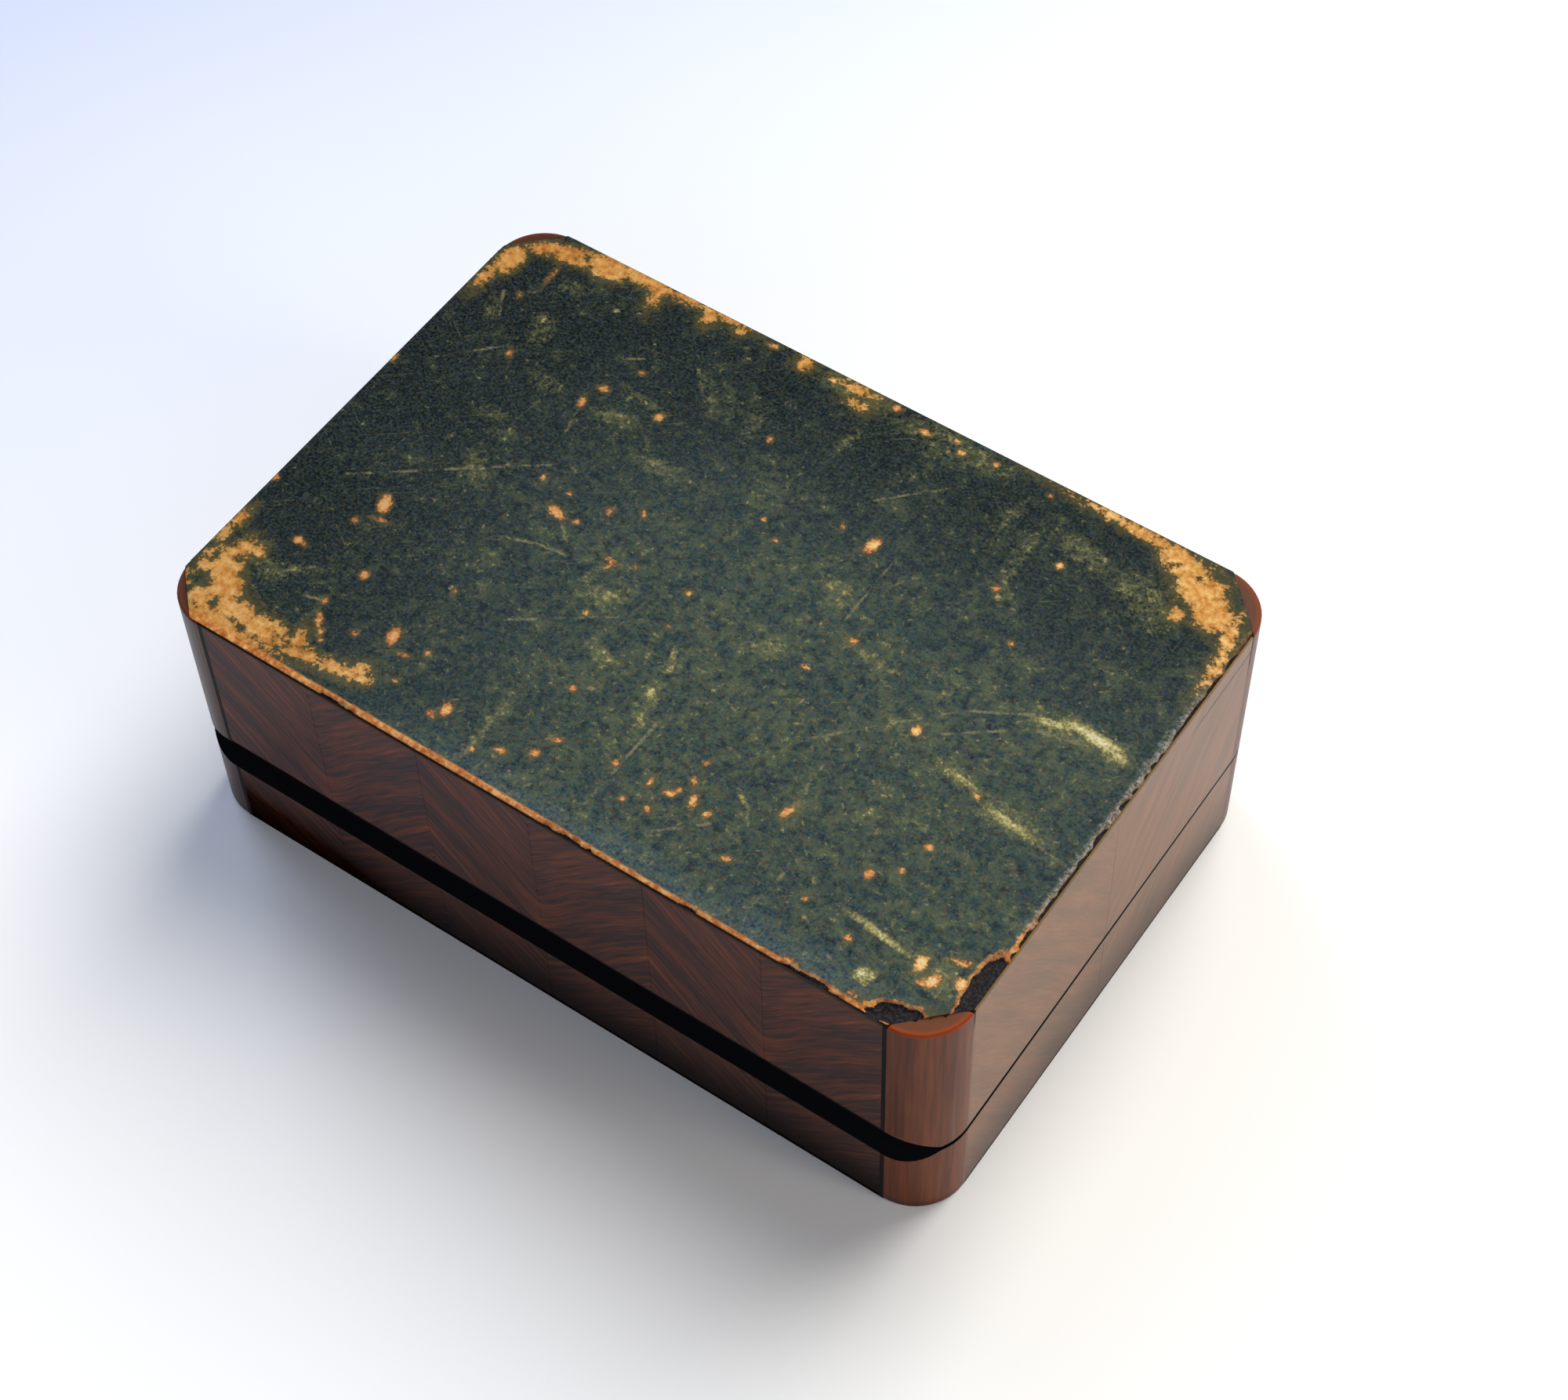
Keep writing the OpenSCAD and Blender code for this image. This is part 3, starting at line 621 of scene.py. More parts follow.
specks = [  # small chips down to the tan leather
    (-44.6, -11.8, 1.7, 1, -62), (-43.5, -14.3, 1.2, 0.35, 10), (-46.1, -16.1, 0.6, 0.5, -40),
    (-50.2, -22.7, 0.7, 0.7, -50), (-49.2, -22.9, 0.5, 0.4), (-39.5, -22.4, 0.7, 0.8, 20), (-41.2, -28.5, 0.5, 0.6),
    (-39.8, -31.2, 1.3, 0.5, -50), (-38.4, -32.6, 0.9, 0.45, -60), (-37.7, -33.6, 0.5, 0.4), (-34.6, -30.4, 0.6, 0.4),
    (-30.3, -28, 0.9, 1.5, 12), (-27.5, -29.6, 0.9, 0.35, 10), (-25, -27.7, 0.4, 0.6), (-25.8, -33.2, 0.6, 0.4),
    (-28.3, -18, 0.35, 0.5, 30), (-25.2, -0.4, 1.6, 0.8, -18), (-22, -0.2, 0.5, 0.5), (-30.1, 3.4, 0.4, 0.6, 20),
    (-25.5, 3, 0.5, 0.4), (-33.6, 16.6, 0.6, 1.1, 20), (-32.6, 20, 0.9, 0.6), (-23.4, 20.1, 0.7, 0.8, 30),
    (-9, 25.2, 0.4, 0.7, 30), (-29.8, 25.2, 0.5, 0.4), (-47, 18.2, 0.4, 0.8, 30), (-52.3, 27.4, 0.6, 0.4, -30),
    (-50.7, 32.8, 0.34, 1.9, 3), (12.1, 17.9, 0.9, 1.6), (7.2, 18.4, 0.3, 0.6, 30), (-2, 13.6, 0.4, 0.4),
    (1.2, 11.6, 0.5, 0.4), (-15.5, 5.6, 0.4, 0.8, 25), (-19.4, 3.6, 0.5, 0.8), (-14.4, -2.9, 1.3, 0.4, -12),
    (-14.2, -3.8, 0.4, 0.8, -20), (-11.2, -2, 0.4, 0.4), (-3.1, -1.6, 0.6, 0.5), (-12.1, -11.4, 0.4, 0.5),
    (-2.4, -7.3, 0.4, 0.3), (18.6, 3.8, 0.7, 0.6), (15.8, -3, 0.6, 0.4), (33.9, 28.5, 0.6, 0.7),
    (35.3, 14.5, 0.5, 0.5), (32.7, -3.4, 0.8, 0.9), (43.3, -16.8, 0.7, 0.6), (42.3, -21.5, 0.6, 0.5, -20),
    (39.4, -24, 0.7, 0.8), (26.2, -22.2, 0.6, 1.4, -15), (24, -31.8, 0.8, 0.5, 20), (34.9, -31.2, 0.4, 0.4),
    (-6.5, -21.9, 0.6, 0.5), (-17.7, -33.3, 0.8, 1.2), (-18.8, -34.9, 0.8, 0.5, -30), (-11.4, -36.2, 0.5, 0.5),
    (-8.4, -34.4, 0.9, 0.5, 20), (-4.5, -32.3, 0.8, 0.6, 30), (-3.4, -29.2, 0.8, 0.5, 40), (4.6, -28, 0.6, 0.5),
    (9.8, -28, 0.4, 0.8), (12.8, -27.9, 0.9, 0.6, 20), (13.4, -26.9, 0.5, 0.5), (14.3, -24.9, 0.5, 0.7, 30),
    (15.8, -27.2, 0.6, 1.3, 15), (18.3, -27.9, 0.6, 0.6), (8.4, -31.8, 0.5, 0.4), (12, -31.4, 0.8, 0.4, -20),
    (14, -21.8, 0.4, 0.6, -20), (51.3, -31, 0.9, 1.4, 15), (53.8, -32.1, 0.9, 1.2, -15), (56.8, -30.7, 0.9, 1),
    (55.4, -28.2, 1.4, 0.5, 15), (52.8, -33.2, 0.8, 0.6), (42.3, -32.9, 0.5, 0.7, 20), (44.2, -7.4, 0.8, 0.4, -35),
    (2, 39, 0.9, 0.6), (11.8, 38.6, 0.6, 0.5), (7.4, 37.6, 0.9, 0.6), (13.4, 37.2, 0.7, 0.5),
    (18.2, 38, 0.5, 0.5), (26.8, 37.6, 0.5, 0.4), (-18, 38.9, 0.9, 0.5), (-8, 38.4, 0.8, 0.5),
    (46.6, -38.9, 0.5, 0.4), (38.2, -39.2, 0.9, 0.4), (-59.6, 8.8, 0.5, 0.9), (-59.6, -16.2, 0.6, 0.7),
    (29.2, 20.8, 0.5, 0.7, 20),
]
rubbed = [  # broad places where the dye is thin and yellow-green
    (49, 7.6, 7.4, 1.9, 4), (54.6, 7.4, 3.2, 1.5, -12), (40.2, -6.2, 3.2, 1.3, -5), (49.5, -8.4, 5.6, 1.6, -4),
    (53.6, -31.2, 3.6, 2.6), (-46.5, 32.4, 1.6, 1.2), (45.5, 30.2, 5.2, 2.4, -12), (50.4, 29, 1.6, 1.4),
    (1.8, -11.6, 0.7, 2.2, -12), (2.6, -17.2, 1, 2.2, 18), (3.3, -21.4, 0.9, 2, 18), (-2.2, -11, 0.7, 2, 12),
    (-6, -16, 2.5, 1.2, -20), (-12, -8, 3, 1.4, 30), (-38, -0.5, 3.2, 1.6, -40), (-46, 24, 1.6, 2.6, 20),
    (-20.4, 27.4, 3.2, 0.7, -42), (-26.6, 21.3, 3, 0.6, -5), (-54, 23.4, 0.8, 1.8, 30), (-12.5, 26.2, 1, 2.6, 5),
    (0, 31.4, 0.9, 2.4), (-4, 38.6, 6.5, 1.8), (12, 37.6, 8, 2.2), (24.5, 31.6, 0.9, 2.6), (29, 27, 0.8, 5.5, 3),
    (30.4, 21.2, 0.7, 1.4, 15), (35, 32, 4.5, 1.8, -10), (47, 29, 4, 3, -30), (12.6, 9, 2.6, 1.6, -20),
    (13.5, 7, 0.6, 1.8, 30), (-42, 8.4, 1.6, 0.9), (-39, 6.8, 1.2, 0.9, 30), (-48, -27, 4, 0.8, 35),
    (-50.4, -28.6, 2.4, 1.6), (22.6, 2.8, 3.4, 0.6), (38, -15.6, 2.6, 0.6, 12), (26.2, -19.2, 0.5, 3.2, 8),
    (30.1, -4, 2, 0.6, -30), (-12, -32, 0.6, 6), (-15, -6, 0.6, 3.4), (9.6, -3.5, 3, 1.4, 20),
    (-28, 17, 3, 1.4, 10), (-18.6, 13, 2.6, 1.4), (-40, 16.8, 2.4, 1.2, -15),
]
pale = [  # crescents and dabs rubbed almost white
    (46.2, -36, 0.9, 1.1), (47.4, -35.7, 0.7, 0.9), (46.8, -36.9, 1.1, 0.5), (44.8, -30.3, 5.4, 0.6, -7),
    (-39.4, 32.3, 0.5, 0.4), (0.9, -10.6, 0.5, 1.1, 30), (1.8, -12.8, 0.5, 1), (2, -17, 0.7, 0.9, 20),
    (3.2, -21, 0.4, 0.9, 20), (20.6, -23.6, 1.8, 0.4, -32), (49.3, -8.5, 4.4, 0.7, -6), (41.2, -6.3, 2.6, 0.55, -8),
    (30, 19.8, 0.4, 0.6), (46.4, 7, 3.6, 0.7, 16), (52.2, 7.9, 4.2, 1.1, -4), (55.4, 7.2, 1.6, 0.8, -14),
    (49.5, 8.2, 2.8, 0.8, 6), (-29, -17.9, 0.3, 0.4), (53.4, -38.6, 0.5, 0.5),
]
scratches = [  # from x, y to x, y
    (-37, 26.5, -33.6, 25.8), (-33.6, 25.8, -31.2, 27.3), (-54.6, 26.9, -52.4, 22.9), (-52, -10.6, -37.2, 0.6),
    (-37.2, 0.6, -30, 6), (-34, -9.2, -24, -6), (-24, -6, -19, -5.2), (-33.3, 15, -32.1, 10.8),
    (-48.5, -27.6, -45.6, -25), (-11.9, -27, -11.8, -38.6), (15.8, 18, 15.9, 6), (35, 7.4, 35.8, 4.6),
    (35.6, -2, 44, 4.4), (26, -14, 26.2, -20), (29.2, 24, 30.2, 19.6), (22, -12, 36, 2.5), (36, 2.5, 43.6, 6.8),
    (10.4, -12.6, 13.8, -13.8), (48, -9.9, 47.9, -17), (21.4, -24, 23.4, -26.4), (-44, -29.4, -41.8, -28.6),
    (53.6, -9.4, 59.2, -10), (-23.4, -1.6, -20.6, -4), (45, 4.9, 51, 6.2), (5, -35, 5.4, -20),
    (-24, 30, -20, 25.6), (8, 24, 17, 33), (-55, 12, -47.6, 19.5), (-20, -18, -8.4, -9.6), (13, -34.6, 19.4, -28.8),
    (30, -38, 31, -28.6),
]
torn = [  # where the sheet has torn away
    (52.6, -38.3, 2.5, 1.5, 12), (54.4, -37.6, 1.6, 1.2, 40), (50.6, -39.6, 1.6, 0.5), (41.9, -39.98, 3.6, 0.34),
    (-31, -40.05, 2.4, 0.2), (7, -40.05, 3, 0.2), (24, -40.05, 1.5, 0.22), (59.2, -30.5, 1.75, 5.6, 3),
    (59.7, -10, 0.34, 16), (59.75, 18, 0.3, 14),
]


def softNoise(x, y, cell, seed):  # smooth values from -1 to 1; its grid of cells is far larger than the box
    grid = np.random.default_rng(seed).uniform(-1, 1, (512, 512))
    u, v = x / cell + 200.5, y / cell + 200.5
    i, j = np.floor(u).astype(int), np.floor(v).astype(int)
    s, t = u - i, v - j
    s, t = s * s * (3 - 2 * s), t * t * (3 - 2 * t)
    low = grid[i, j] * (1 - s) + grid[i + 1, j] * s
    high = grid[i, j + 1] * (1 - s) + grid[i + 1, j + 1] * s
    return low * (1 - t) + high * t


def cosSin(degrees=0):
    return math.cos(math.radians(degrees)), math.sin(math.radians(degrees))


def inMarks(x, y, marks):  # millimetres inside the nearest mark's outline, negative outside
    best = np.full(x.shape, -3.0)
    for cx, cy, a, b, *turn in marks:
        c, s = cosSin(*turn)
        u, v = ((x - cx) * c + (y - cy) * s) / a, ((y - cy) * c - (x - cx) * s) / b
        best = np.maximum(best, (1 - np.sqrt(u * u + v * v)) * min(a, b, 2.0))
    return best


def nearLines(x, y, lines, reach):  # 1 on a line, 0 from reach millimetres away
    best = np.zeros(x.shape)
    for x0, y0, x1, y1 in lines:
        length = (x1 - x0) ** 2 + (y1 - y0) ** 2
        t = np.clip(((x - x0) * (x1 - x0) + (y - y0) * (y1 - y0)) / length, 0, 1)
        away = np.hypot(x - x0 - t * (x1 - x0), y - y0 - t * (y1 - y0))
        best = np.maximum(best, (1 - away / reach) * np.minimum(1, 0.75 + 0.5 * softNoise(x, y, 1.4, 5)))
    return np.maximum(best, 0)


def rising(v, low, high):  # 0 below low, 1 above high, smooth between
    t = np.clip((v - low) / (high - low), 0, 1)
    return t * t * (3 - 2 * t)


def closedSheet(name, place, axis, base):  # a grid of points, in millimetres, closed down to base along one axis
    top = place.reshape(-1, 3)
    k = np.arange(len(top)).reshape(place.shape[:2])
    ring = np.concatenate([k[0], k[1:, -1], k[-1, -2::-1], k[-2:0:-1, 0]])
    quads = np.stack([k[:-1, :-1], k[:-1, 1:], k[1:, 1:], k[1:, :-1]], -1).reshape(-1, 4)
    low = top[ring].copy()
    low[:, axis] = base
    foot = len(top) + np.arange(len(ring))
    sides = np.stack([ring, foot, np.roll(foot, -1), np.roll(ring, -1)], -1)
    mesh = bpy.data.meshes.new(name)
    mesh.from_pydata((np.concatenate([top, low]) * mm).tolist(), [], np.concatenate([quads, sides]).tolist())
    bm = bmesh.new()
    bm.from_mesh(mesh)
    bmesh.ops.holes_fill(bm, edges=[e for e in bm.edges if e.is_boundary], sides=0)
    bmesh.ops.recalc_face_normals(bm, faces=bm.faces)
    bm.to_mesh(mesh)
    bm.free()
    smooth(mesh, 60)
    return linked(name, mesh)


def pointsOf(mesh):
    co = np.zeros(len(mesh.vertices) * 3)
    mesh.vertices.foreach_get("co", co)
    return co.reshape(-1, 3)


halfX, halfY = leatherSize["halfX"], leatherSize["halfY"]


def leatherPlace(u, v):  # from 0 to 1 across and along, to x and y
    y = halfY * (2 * v - 1)
    ends = []
    for sx in (-1, 1):
        near, far = leatherSize["cuts"][(sx, -1)], leatherSize["cuts"][(sx, 1)]
        back = np.maximum(near - halfY - y, far - halfY + y)
        ends.append(sx * (halfX - np.maximum(back, 0)))
    return ends[0] + (ends[1] - ends[0]) * u, y


def edgeDistance(x, y):
    d = np.minimum(halfX - np.abs(x), halfY - np.abs(y))
    for (sx, sy), cut in leatherSize["cuts"].items():
        d = np.minimum(d, (halfX + halfY - cut - sx * x - sy * y) / math.sqrt(2))
    return d


def leatherFields(x, y):  # lightness is how light the leather is: it is darkest at the left and the far side
    fresh = (0.16 + 0.84 * rising(x, -54, 8)) * (1 - 0.74 * rising(y, 0, 34)) * (1 - 0.14 * rising(x + y, 25, 65))
    fresh *= rising(x, -70, -44) * (1 - 0.45 * rising(y, 24, 38) * (1 - rising(x, -20, 40)))
    fresh = np.clip(fresh + 0.07 * softNoise(x, y, 9, 4), 0, 1)
    return {"bare": np.minimum(inMarks(x, y, worn), -inMarks(x, y, keptDye)), "fresh": fresh,
            "speck": inMarks(x, y, specks), "rub": inMarks(x, y, rubbed), "pale": inMarks(x, y, pale),
            "scratch": nearLines(x, y, scratches, 0.62), "gone": inMarks(x, y, torn) + 0.22 * softNoise(x, y, 0.9, 3)}


def leatherHeight(x, y):
    f = leatherFields(x, y)
    ragged = 0.5 * softNoise(x, y, 1.6, 1) + 0.35 * softNoise(x, y, 0.8, 2)
    left = 1 - rising(f["gone"], -0.1, 0.12)  # the share of leather that is still there
    uneven = leatherSize["uneven"] * (softNoise(x, y, 5, 6) + softNoise(x, y, 1.1, 7)) + 0.01 * softNoise(x, y, 0.5, 8)
    sunk = leatherSize["bareDepth"] * rising(f["bare"] + 0.6 * ragged, -0.25, 0.35)
    sunk += leatherSize["speckDepth"] * rising(f["speck"], -0.1, 0.3)
    sunk += leatherSize["scratchDepth"] * rising(f["scratch"], 0.55, 0.9)
    sunk += leatherSize["edgeDrop"] * (1 - rising(edgeDistance(x, y), -0.05, 0.6 + 0.2 * softNoise(x, y, 2.5, 9)))
    z = case["woodTop"] + leatherSize["glue"] + left * (leatherSize["thick"] + uneven - sunk)
    z += (1 - left) * leatherSize["uneven"] * softNoise(x, y, 0.5, 10)
    return np.clip(z, case["woodTop"] + 0.01, case["height"] - 0.005)


columns, rows = (int(2 * half / leatherSize["grid"]) for half in (halfX, halfY))
gx, gy = leatherPlace(*np.meshgrid(np.linspace(0, 1, columns), np.linspace(0, 1, rows)))
leatherPiece = closedSheet("baseLeather", np.stack([gx, gy, leatherHeight(gx, gy)], -1), 2, case["woodTop"])
px, py = pointsOf(leatherPiece.data)[:, :2].T / mm
for key, values in leatherFields(px, py).items():  # one number for each point of the mesh
    field = leatherPiece.data.attributes.new(key, "FLOAT", "POINT")
    field.data.foreach_set("value", values.astype(np.float32))


def makeLeather():
    # dyed sheepskin, worn: blue-green dye gone olive and brown in patches over tan leather, small rubs and light
    # scratches all over, bare at the corners
    material, shader = newMaterial("dyed sheepskin", IOR=1.3, Specular_Tint="#D6E6FF")
    x, y, z = placeOf(shader)
    read = lambda name: addNode(x.id_data, "ShaderNodeAttribute", {"attribute_name": name}).outputs["Fac"]
    flat = lambda scale, detail, roughness, place=0: grainNoise(x, y, place, (scale, scale, 1), detail, roughness)
    fine, crisp = flat(2.4, 3, 0.65), flat(2.2, 3, 0.7, 4)
    ragged, patches = flat(0.9, 5, 0.68, 8), flat(0.13, 4, 0.62, 12)
    around = lambda noise, reach: times(minus(noise, 0.5), reach)
    marked = lambda name, reach, crispReach: plus(shift(read(name), ragged, reach), around(crisp, crispReach))
    # dye: the leather darker and bluer at the left and the far side, green and olive where it has worn thin, with
    # small rubs
    fresh = read("fresh")
    rubs = fade(shift(read("rub"), ragged, 2.2), -0.8, 0.9)
    dye = ramp(flat(0.6, 5, 0.74, 16), (0.39, "#0F2029"), (0.47, "#1D353B"), (0.53, "#294038"), (0.61, "#43503A"))
    dye = blend(inverse(fresh), dye, "#050A10")
    thin = plus(flat(0.42, 6, 0.78, 20), times(minus(fresh, 0.55), 0.1), times(rubs, 0.09), around(patches, 0.42))
    smear = times(rubs, fade(plus(times(ragged, 0.6), times(fine, 0.4)), 0.42, 0.62))
    flecks = plus(flat(1, 6, 0.74, 28), times(rubs, 0.05), around(thin, 0.34))
    # painted reflection: a bluish sheen along the hinge side's edge
    haze = times(fade(shift(y, patches, 12), -34, -40.5), fade(x, -34, 0))
    # fine scratches in four directions, 0.1 to 0.2 mm wide, and the long ones of the list
    lines = 0
    for degrees, offset, level in ((38, 0, 0.68), (-32, 20, 0.7), (84, 50, 0.7), (8, 90, 0.71)):
        c, s = cosSin(degrees)
        along, over = plus(times(x, c), times(y, s)), minus(times(y, c), times(x, s))
        line = grainNoise(along, over, offset, (0.06, 2.6, 1), 1, 0.4, 0.15)
        lines = larger(lines, fade(line, level, level + 0.05))
    lines = times(lines, fade(ragged, 0.44, 0.6), 0.36)
    lines = larger(lines, times(fade(shift(read("scratch"), crisp, 1.2), 0.42, 0.95), fade(ragged, 0.32, 0.5)))
    bareEdge = marked("bare", 3.2, 2.2)
    speck = marked("speck", 1, 1)
    layers = [  # one over the other on the dye: where, how strong, colour
        (fade(thin, 0.46, 0.68), plus(0.42, times(fresh, 0.3)), "#596140"),
        (fade(flat(1.3, 4, 0.7, 24), 0.5, 0.64), plus(0.1, times(fresh, 0.5)), "#5A4430"),
        (fade(flat(1.3, 4, 0.65, 26), 0.5, 0.64), 0.5, "#17304A"),
        (fade(fine, 0.38, 0.66), 0.3, "#5F6A58"),
        (fade(flat(0.75, 5, 0.7, 30), 0.49, 0.62), 0.5, "#0A161C"),
        (smear, 0.36, "#7C7A48"),
        (fade(flecks, 0.58, 0.7), 0.75, "#8C8554"),
        (fade(flecks, 0.69, 0.78), 0.85, "#D2BC86"),
        (haze, times(fade(fine, 0.3, 0.7), 0.42), "#5C7480"),  # a painted bluish sheen along the hinge side's edge: painted reflection
        (lines, 0.6, "#918A60"),
        (fade(bareEdge, -1.6, -0.3), 0.55, "#5E5630"),
        (fade(speck, -0.45, 0.1), 0.5, "#6A5B34"),
    ]
    for mask, share, code in layers:
        dye = blend(times(mask, share), dye, code)
    # bare leather, dark dye left in its pores near the border
    bare = ramp(plus(times(ragged, 0.6), times(patches, 0.4)), (0.38, "#A66A30"), (0.46, "#C98A44"),
                (0.53, "#DBA45A"), (0.62, "#EDC27E"))
    bare = blend(times(fade(crisp, 0.52, 0.72), 0.5), bare, "#AC7036")
    bare = blend(times(fade(bareEdge, 0.7, -0.1), 0.5), bare, "#86602E")
    bare = blend(times(fade(x, 20, -60), 0.3), bare, "#8A5420")
    chip = plus(times(flat(0.12, 2, 0.5, 32), 0.6), times(crisp, 0.4))
    chip = ramp(plus(times(chip, 0.76), times(fade(speck, 0, 0.7), 0.22)), (0.34, "#A8603A"), (0.44, "#C2824A"),
                (0.54, "#D8A662"), (0.66, "#EBCB8E"))
    chip = blend(times(fade(x, -8, -46), 0.5), chip, "#A8683A")
    bareMask, speckMask = fade(bareEdge, -0.22, 0.06), fade(speck, 0, 0.25)
    bared = larger(bareMask, speckMask)
    colour = blend(speckMask, blend(bareMask, dye, bare), chip)
    palePart = marked("pale", 0.9, 0.6)
    paleTone = ramp(plus(palePart, around(fine, 2.2)), (0, "#66643C"), (0.26, "#918A54"), (0.55, "#BCB078"),
                    (0.95, "#E4DAAC"))
    colour = blend(times(fade(palePart, -0.16, 0.2), 0.88), colour, paleTone)
    # worn edges: white along the short side in view, a thin tan line along the hinge side
    white = times(fade(shift(x, ragged, 2.4), 58.4, 59.6), fade(y, -26, -18), fade(y, 28, 16))
    colour = blend(times(white, fade(crisp, 0.38, 0.62), 0.62), colour, "#B8BEB6")
    low = plus(shift(y, ragged, 0.7), times(fade(x, -20, 30), 0.3))
    tan = times(fade(low, -39, -39.35), fade(patches, 0.26, 0.42))
    rawEdge = fade(shift(x, ragged, 1.2), 58.9, 59.1)  # and tan where the short side's edge is torn
    tan = larger(tan, times(rawEdge, fade(y, -27, -26), fade(y, -18, -21)))
    fringe = times(fade(shift(read("gone"), ragged, 1), -0.5, -0.15), 0.6)
    fringe = times(fringe, inverse(times(fade(x, 58.5, 58.8), fade(y, -22, -14), 0.75)))
    edgeTan = ramp(ragged, (0.38, "#A45A2A"), (0.5, "#C87E40"), (0.62, "#E6B06E"))
    colour = blend(larger(times(tan, 0.9), fringe), colour, edgeTan)
    # where the sheet has torn away: old glue and dark wood
    goneMask = fade(shift(read("gone"), crisp, 0.3), -0.06, 0.04)
    colour = blend(goneMask, colour, ramp(fine, (0.36, "#0E0A08"), (0.5, "#221915"), (0.62, "#2E3033")))
    feed(shader, Base_Color=colour, Roughness=plus(times(bared, 0.3), 0.46, times(fine, 0.16)),
         Specular_IOR_Level=plus(0.05, times(fade(fresh, 0, 0.7), 0.2)))
    # fine grain, with rubs and scratches sunk into it
    relief = minus(times(flat(3, 3, 0.6, 40), 1.2), plus(times(lines, 0.5), times(bared, 0.5)))
    addBump(shader, relief, 0.3, 0.07)
    return material


leatherPiece.data.materials.append(makeLeather())
finishPiece(leatherPiece, "tray", "base_leather", "tray_base_leather")
print("leather made:", len(leatherPiece.data.polygons), "faces")

# velvet: card linings on the walls, a pad on the floor of each half

lining = {"edge": 0.8, "edgeShare": 0.3, "middleShare": 0.62, "step": 1.6, "wave": 0.05}
pad = {"rise": 0.75, "held": 0.95, "slack": 0.73, "scale": 10, "pressure": 4, "stiffness": 8, "bending": 0.1,
       "mass": 0.02, "steps": 20}


def panelRows(length):  # close together at both edges, where the face turns over
    near = [0.0, 0.08, 0.2, 0.38, 0.6, 0.85, 1.2]
    inner = np.linspace(1.8, length - 1.8, max(3, int((length - 3.6) / lining["step"])))
    return np.concatenate([near, inner, [length - d for d in reversed(near)]])


def velvetPanel(node, face):  # face is the direction it looks in; its place and size are the CAD solid's
    low, high = (np.array(v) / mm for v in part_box(node))
    k = int(np.argmax(np.abs(face)))
    i, j = [a for a in range(3) if a != k]
    thick = high[k] - low[k]
    us, vs = panelRows(high[i] - low[i]), panelRows(high[j] - low[j])
    u, v = np.meshgrid(us, vs)
    edge = np.minimum(np.minimum(u, us[-1] - u), np.minimum(v, vs[-1] - v))
    turn = np.clip(edge / lining["edge"], 0, 1)
    wave = softNoise(u + 9 * k, v, 6, 21) + 0.5 * softNoise(u, v + 5 * k, 2.2, 22)
    height = thick * (lining["edgeShare"] + lining["middleShare"] * np.sqrt(turn * (2 - turn)))
    height += turn * lining["wave"] * wave * min(thick, 1.2)
    if thick > 2:  # a pad starts flat, and swells later
        height *= pad["slack"]
    place = np.zeros((len(vs), len(us), 3))
    place[..., i], place[..., j] = u + low[i], v + low[j]
    base = low[k] if face[k] > 0 else high[k]
    place[..., k] = base + face[k] * height
    return closedSheet(camel(node), place, k, base)


def swell(o, axis, way):  # air pressure in the pad's cover, run at ten times its size; way is up or down
    start = pointsOf(o.data)
    height = way * start[:, axis]
    o.data.transform(Matrix.Scale(pad["scale"], 4))
    held = o.vertex_groups.new(name="held")
    held.add([int(i) for i in np.nonzero(height < height.min() + pad["held"] * mm)[0]], 1.0, "REPLACE")
    cloth = o.modifiers.new("air", "CLOTH").settings
    cloth.mass = pad["mass"]
    cloth.use_pressure = True
    cloth.uniform_pressure_force = pad["pressure"]
    cloth.tension_stiffness = cloth.compression_stiffness = pad["stiffness"]
    cloth.bending_stiffness = pad["bending"]
    cloth.vertex_group_mass = "held"
    cloth.effector_weights.gravity = 0.0
    for f in range(pad["steps"]):
        scene.frame_set(f + 1)
    moved = pointsOf(o.evaluated_get(bpy.context.evaluated_depsgraph_get()).data) / pad["scale"] - start
    o.modifiers.clear()
    o.vertex_groups.clear()
    reach = np.abs(moved[:, axis]).max()
    moved *= pad["rise"] * mm / max(reach, 1e-9)
    o.data.vertices.foreach_set("co", (start + moved).ravel())
    o.data.update()
    scene.frame_set(1)
    return reach


walls = {"back": (0, 1, 0), "front": (0, -1, 0), "left": (1, 0, 0), "right": (-1, 0, 0)}
for body, up in (("lid", 1), ("tray", -1)):
    for side, face in {**walls, "pad": (0, 0, up)}.items():
        node = f"{body}_lining_{side}"
        o = velvetPanel(node, face)
        if side == "pad":
            print(node, "swelled by", round(swell(o, 2, up) / mm, 3), "mm")
        o.data.materials.append(velvet)
        finishPiece(o, body, "velvet", node)
print("velvet made")

# floor, light and camera

bpy.ops.mesh.primitive_plane_add(size=6, location=(0, 0, -0.02 * mm))  # a hair below the lid
floor = bpy.context.object
floor.name = "table_top"


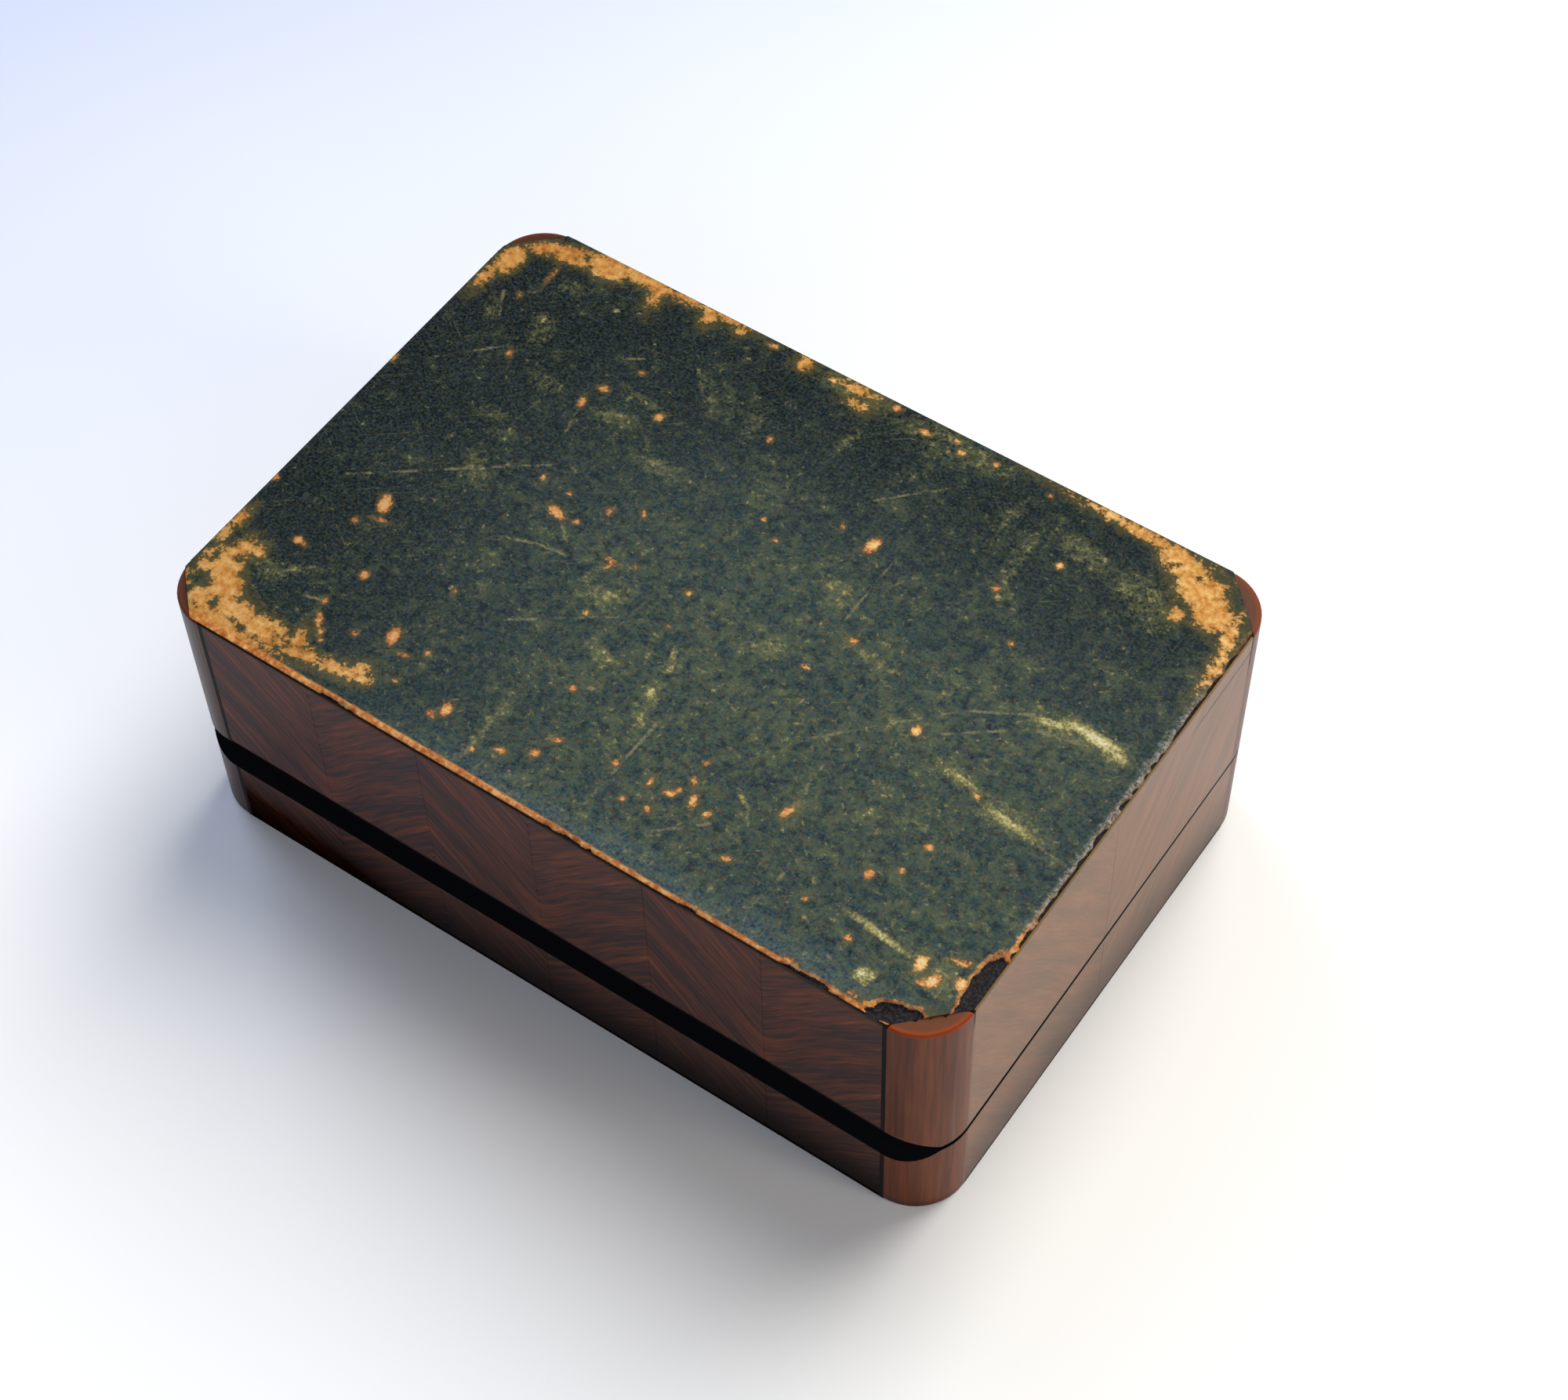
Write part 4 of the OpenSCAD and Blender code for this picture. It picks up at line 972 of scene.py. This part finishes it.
def makeFloor():
    # white painted board, matt; its colour is painted darker and bluer towards the far left, which is painted shade,
    # and for camera and glossy rays it glows brighter away from the box, which is painted light
    material, shader = newMaterial("white painted board", Roughness=0.6, Emission_Color="#EEF2FF")
    x, y, z = placeOf(shader)
    # painted shade: darker and bluer towards the far left
    paintedFarShade = fade(minus(times(y, 0.7), x), 10, 300)
    seen = addNode(x.id_data, "ShaderNodeLightPath").outputs
    direct = larger(seen["Is Camera Ray"], seen["Is Glossy Ray"])
    flatWay = vectorOf(X=larger(times(x, 0.8), x), Y=times(y, 0.8))
    away = addNode(x.id_data, "ShaderNodeVectorMath", {"operation": "LENGTH"}, {0: flatWay}).outputs[1]
    # painted light: a glow for camera and glossy rays, growing away from the box
    paintedGlow = times(fade(away, 62, 140), direct, inverse(paintedFarShade))
    feed(shader, Base_Color=blend(paintedFarShade, "#FCFDFC", "#C6D0E8"), Emission_Strength=times(paintedGlow, 0.2))
    return material


floor.data.materials.append(makeFloor())

world = bpy.data.worlds.new("room")
scene.world = world
world.use_nodes = True
background = world.node_tree.nodes["Background"]
background.inputs["Color"].default_value = fromHex("#D2DCF2")
background.inputs["Strength"].default_value = 0.15

lamps = {  # place, width and height, watts, colour; each is aimed at the box
    "window": ((0.11, 0.86, 1.22), (0.9, 1.45), 20.2, "#FFFCF4"),
    "sky": ((-1.2, 0.5, 0.72), (0.9, 0.9), 10, "#CAD8FC"),
    "room": ((0.48, -0.83, 1.15), (1.4, 1.4), 3.6, "#E8EAF4"),
    "side lamp": ((1.15, 0.12, 0.45), (0.5, 0.5), 5, "#FFF2E0"),
}
for name, (place, across, watts, colour) in lamps.items():
    lamp = bpy.data.lights.new(name, "AREA")
    lamp.shape = "ELLIPSE"
    lamp.size, lamp.size_y = across
    lamp.energy = watts
    lamp.color = fromHex(colour)[:3]
    o = linked(name, lamp)
    o.location = place
    o.rotation_euler = (Vector((0, 0, 0.02)) - Vector(place)).to_track_quat("-Z", "Y").to_euler()

camera = bpy.data.cameras.new("camera")
camera.lens = 73.06
camera.sensor_width = 36
camera.clip_start = 0.01
view = linked("camera", camera)
view.location = (0.15032, -0.19466, 0.36791)
view.rotation_euler = (0.616231, 0.0158624, 0.60142)
scene.camera = view
scene.view_settings.view_transform = "Standard"
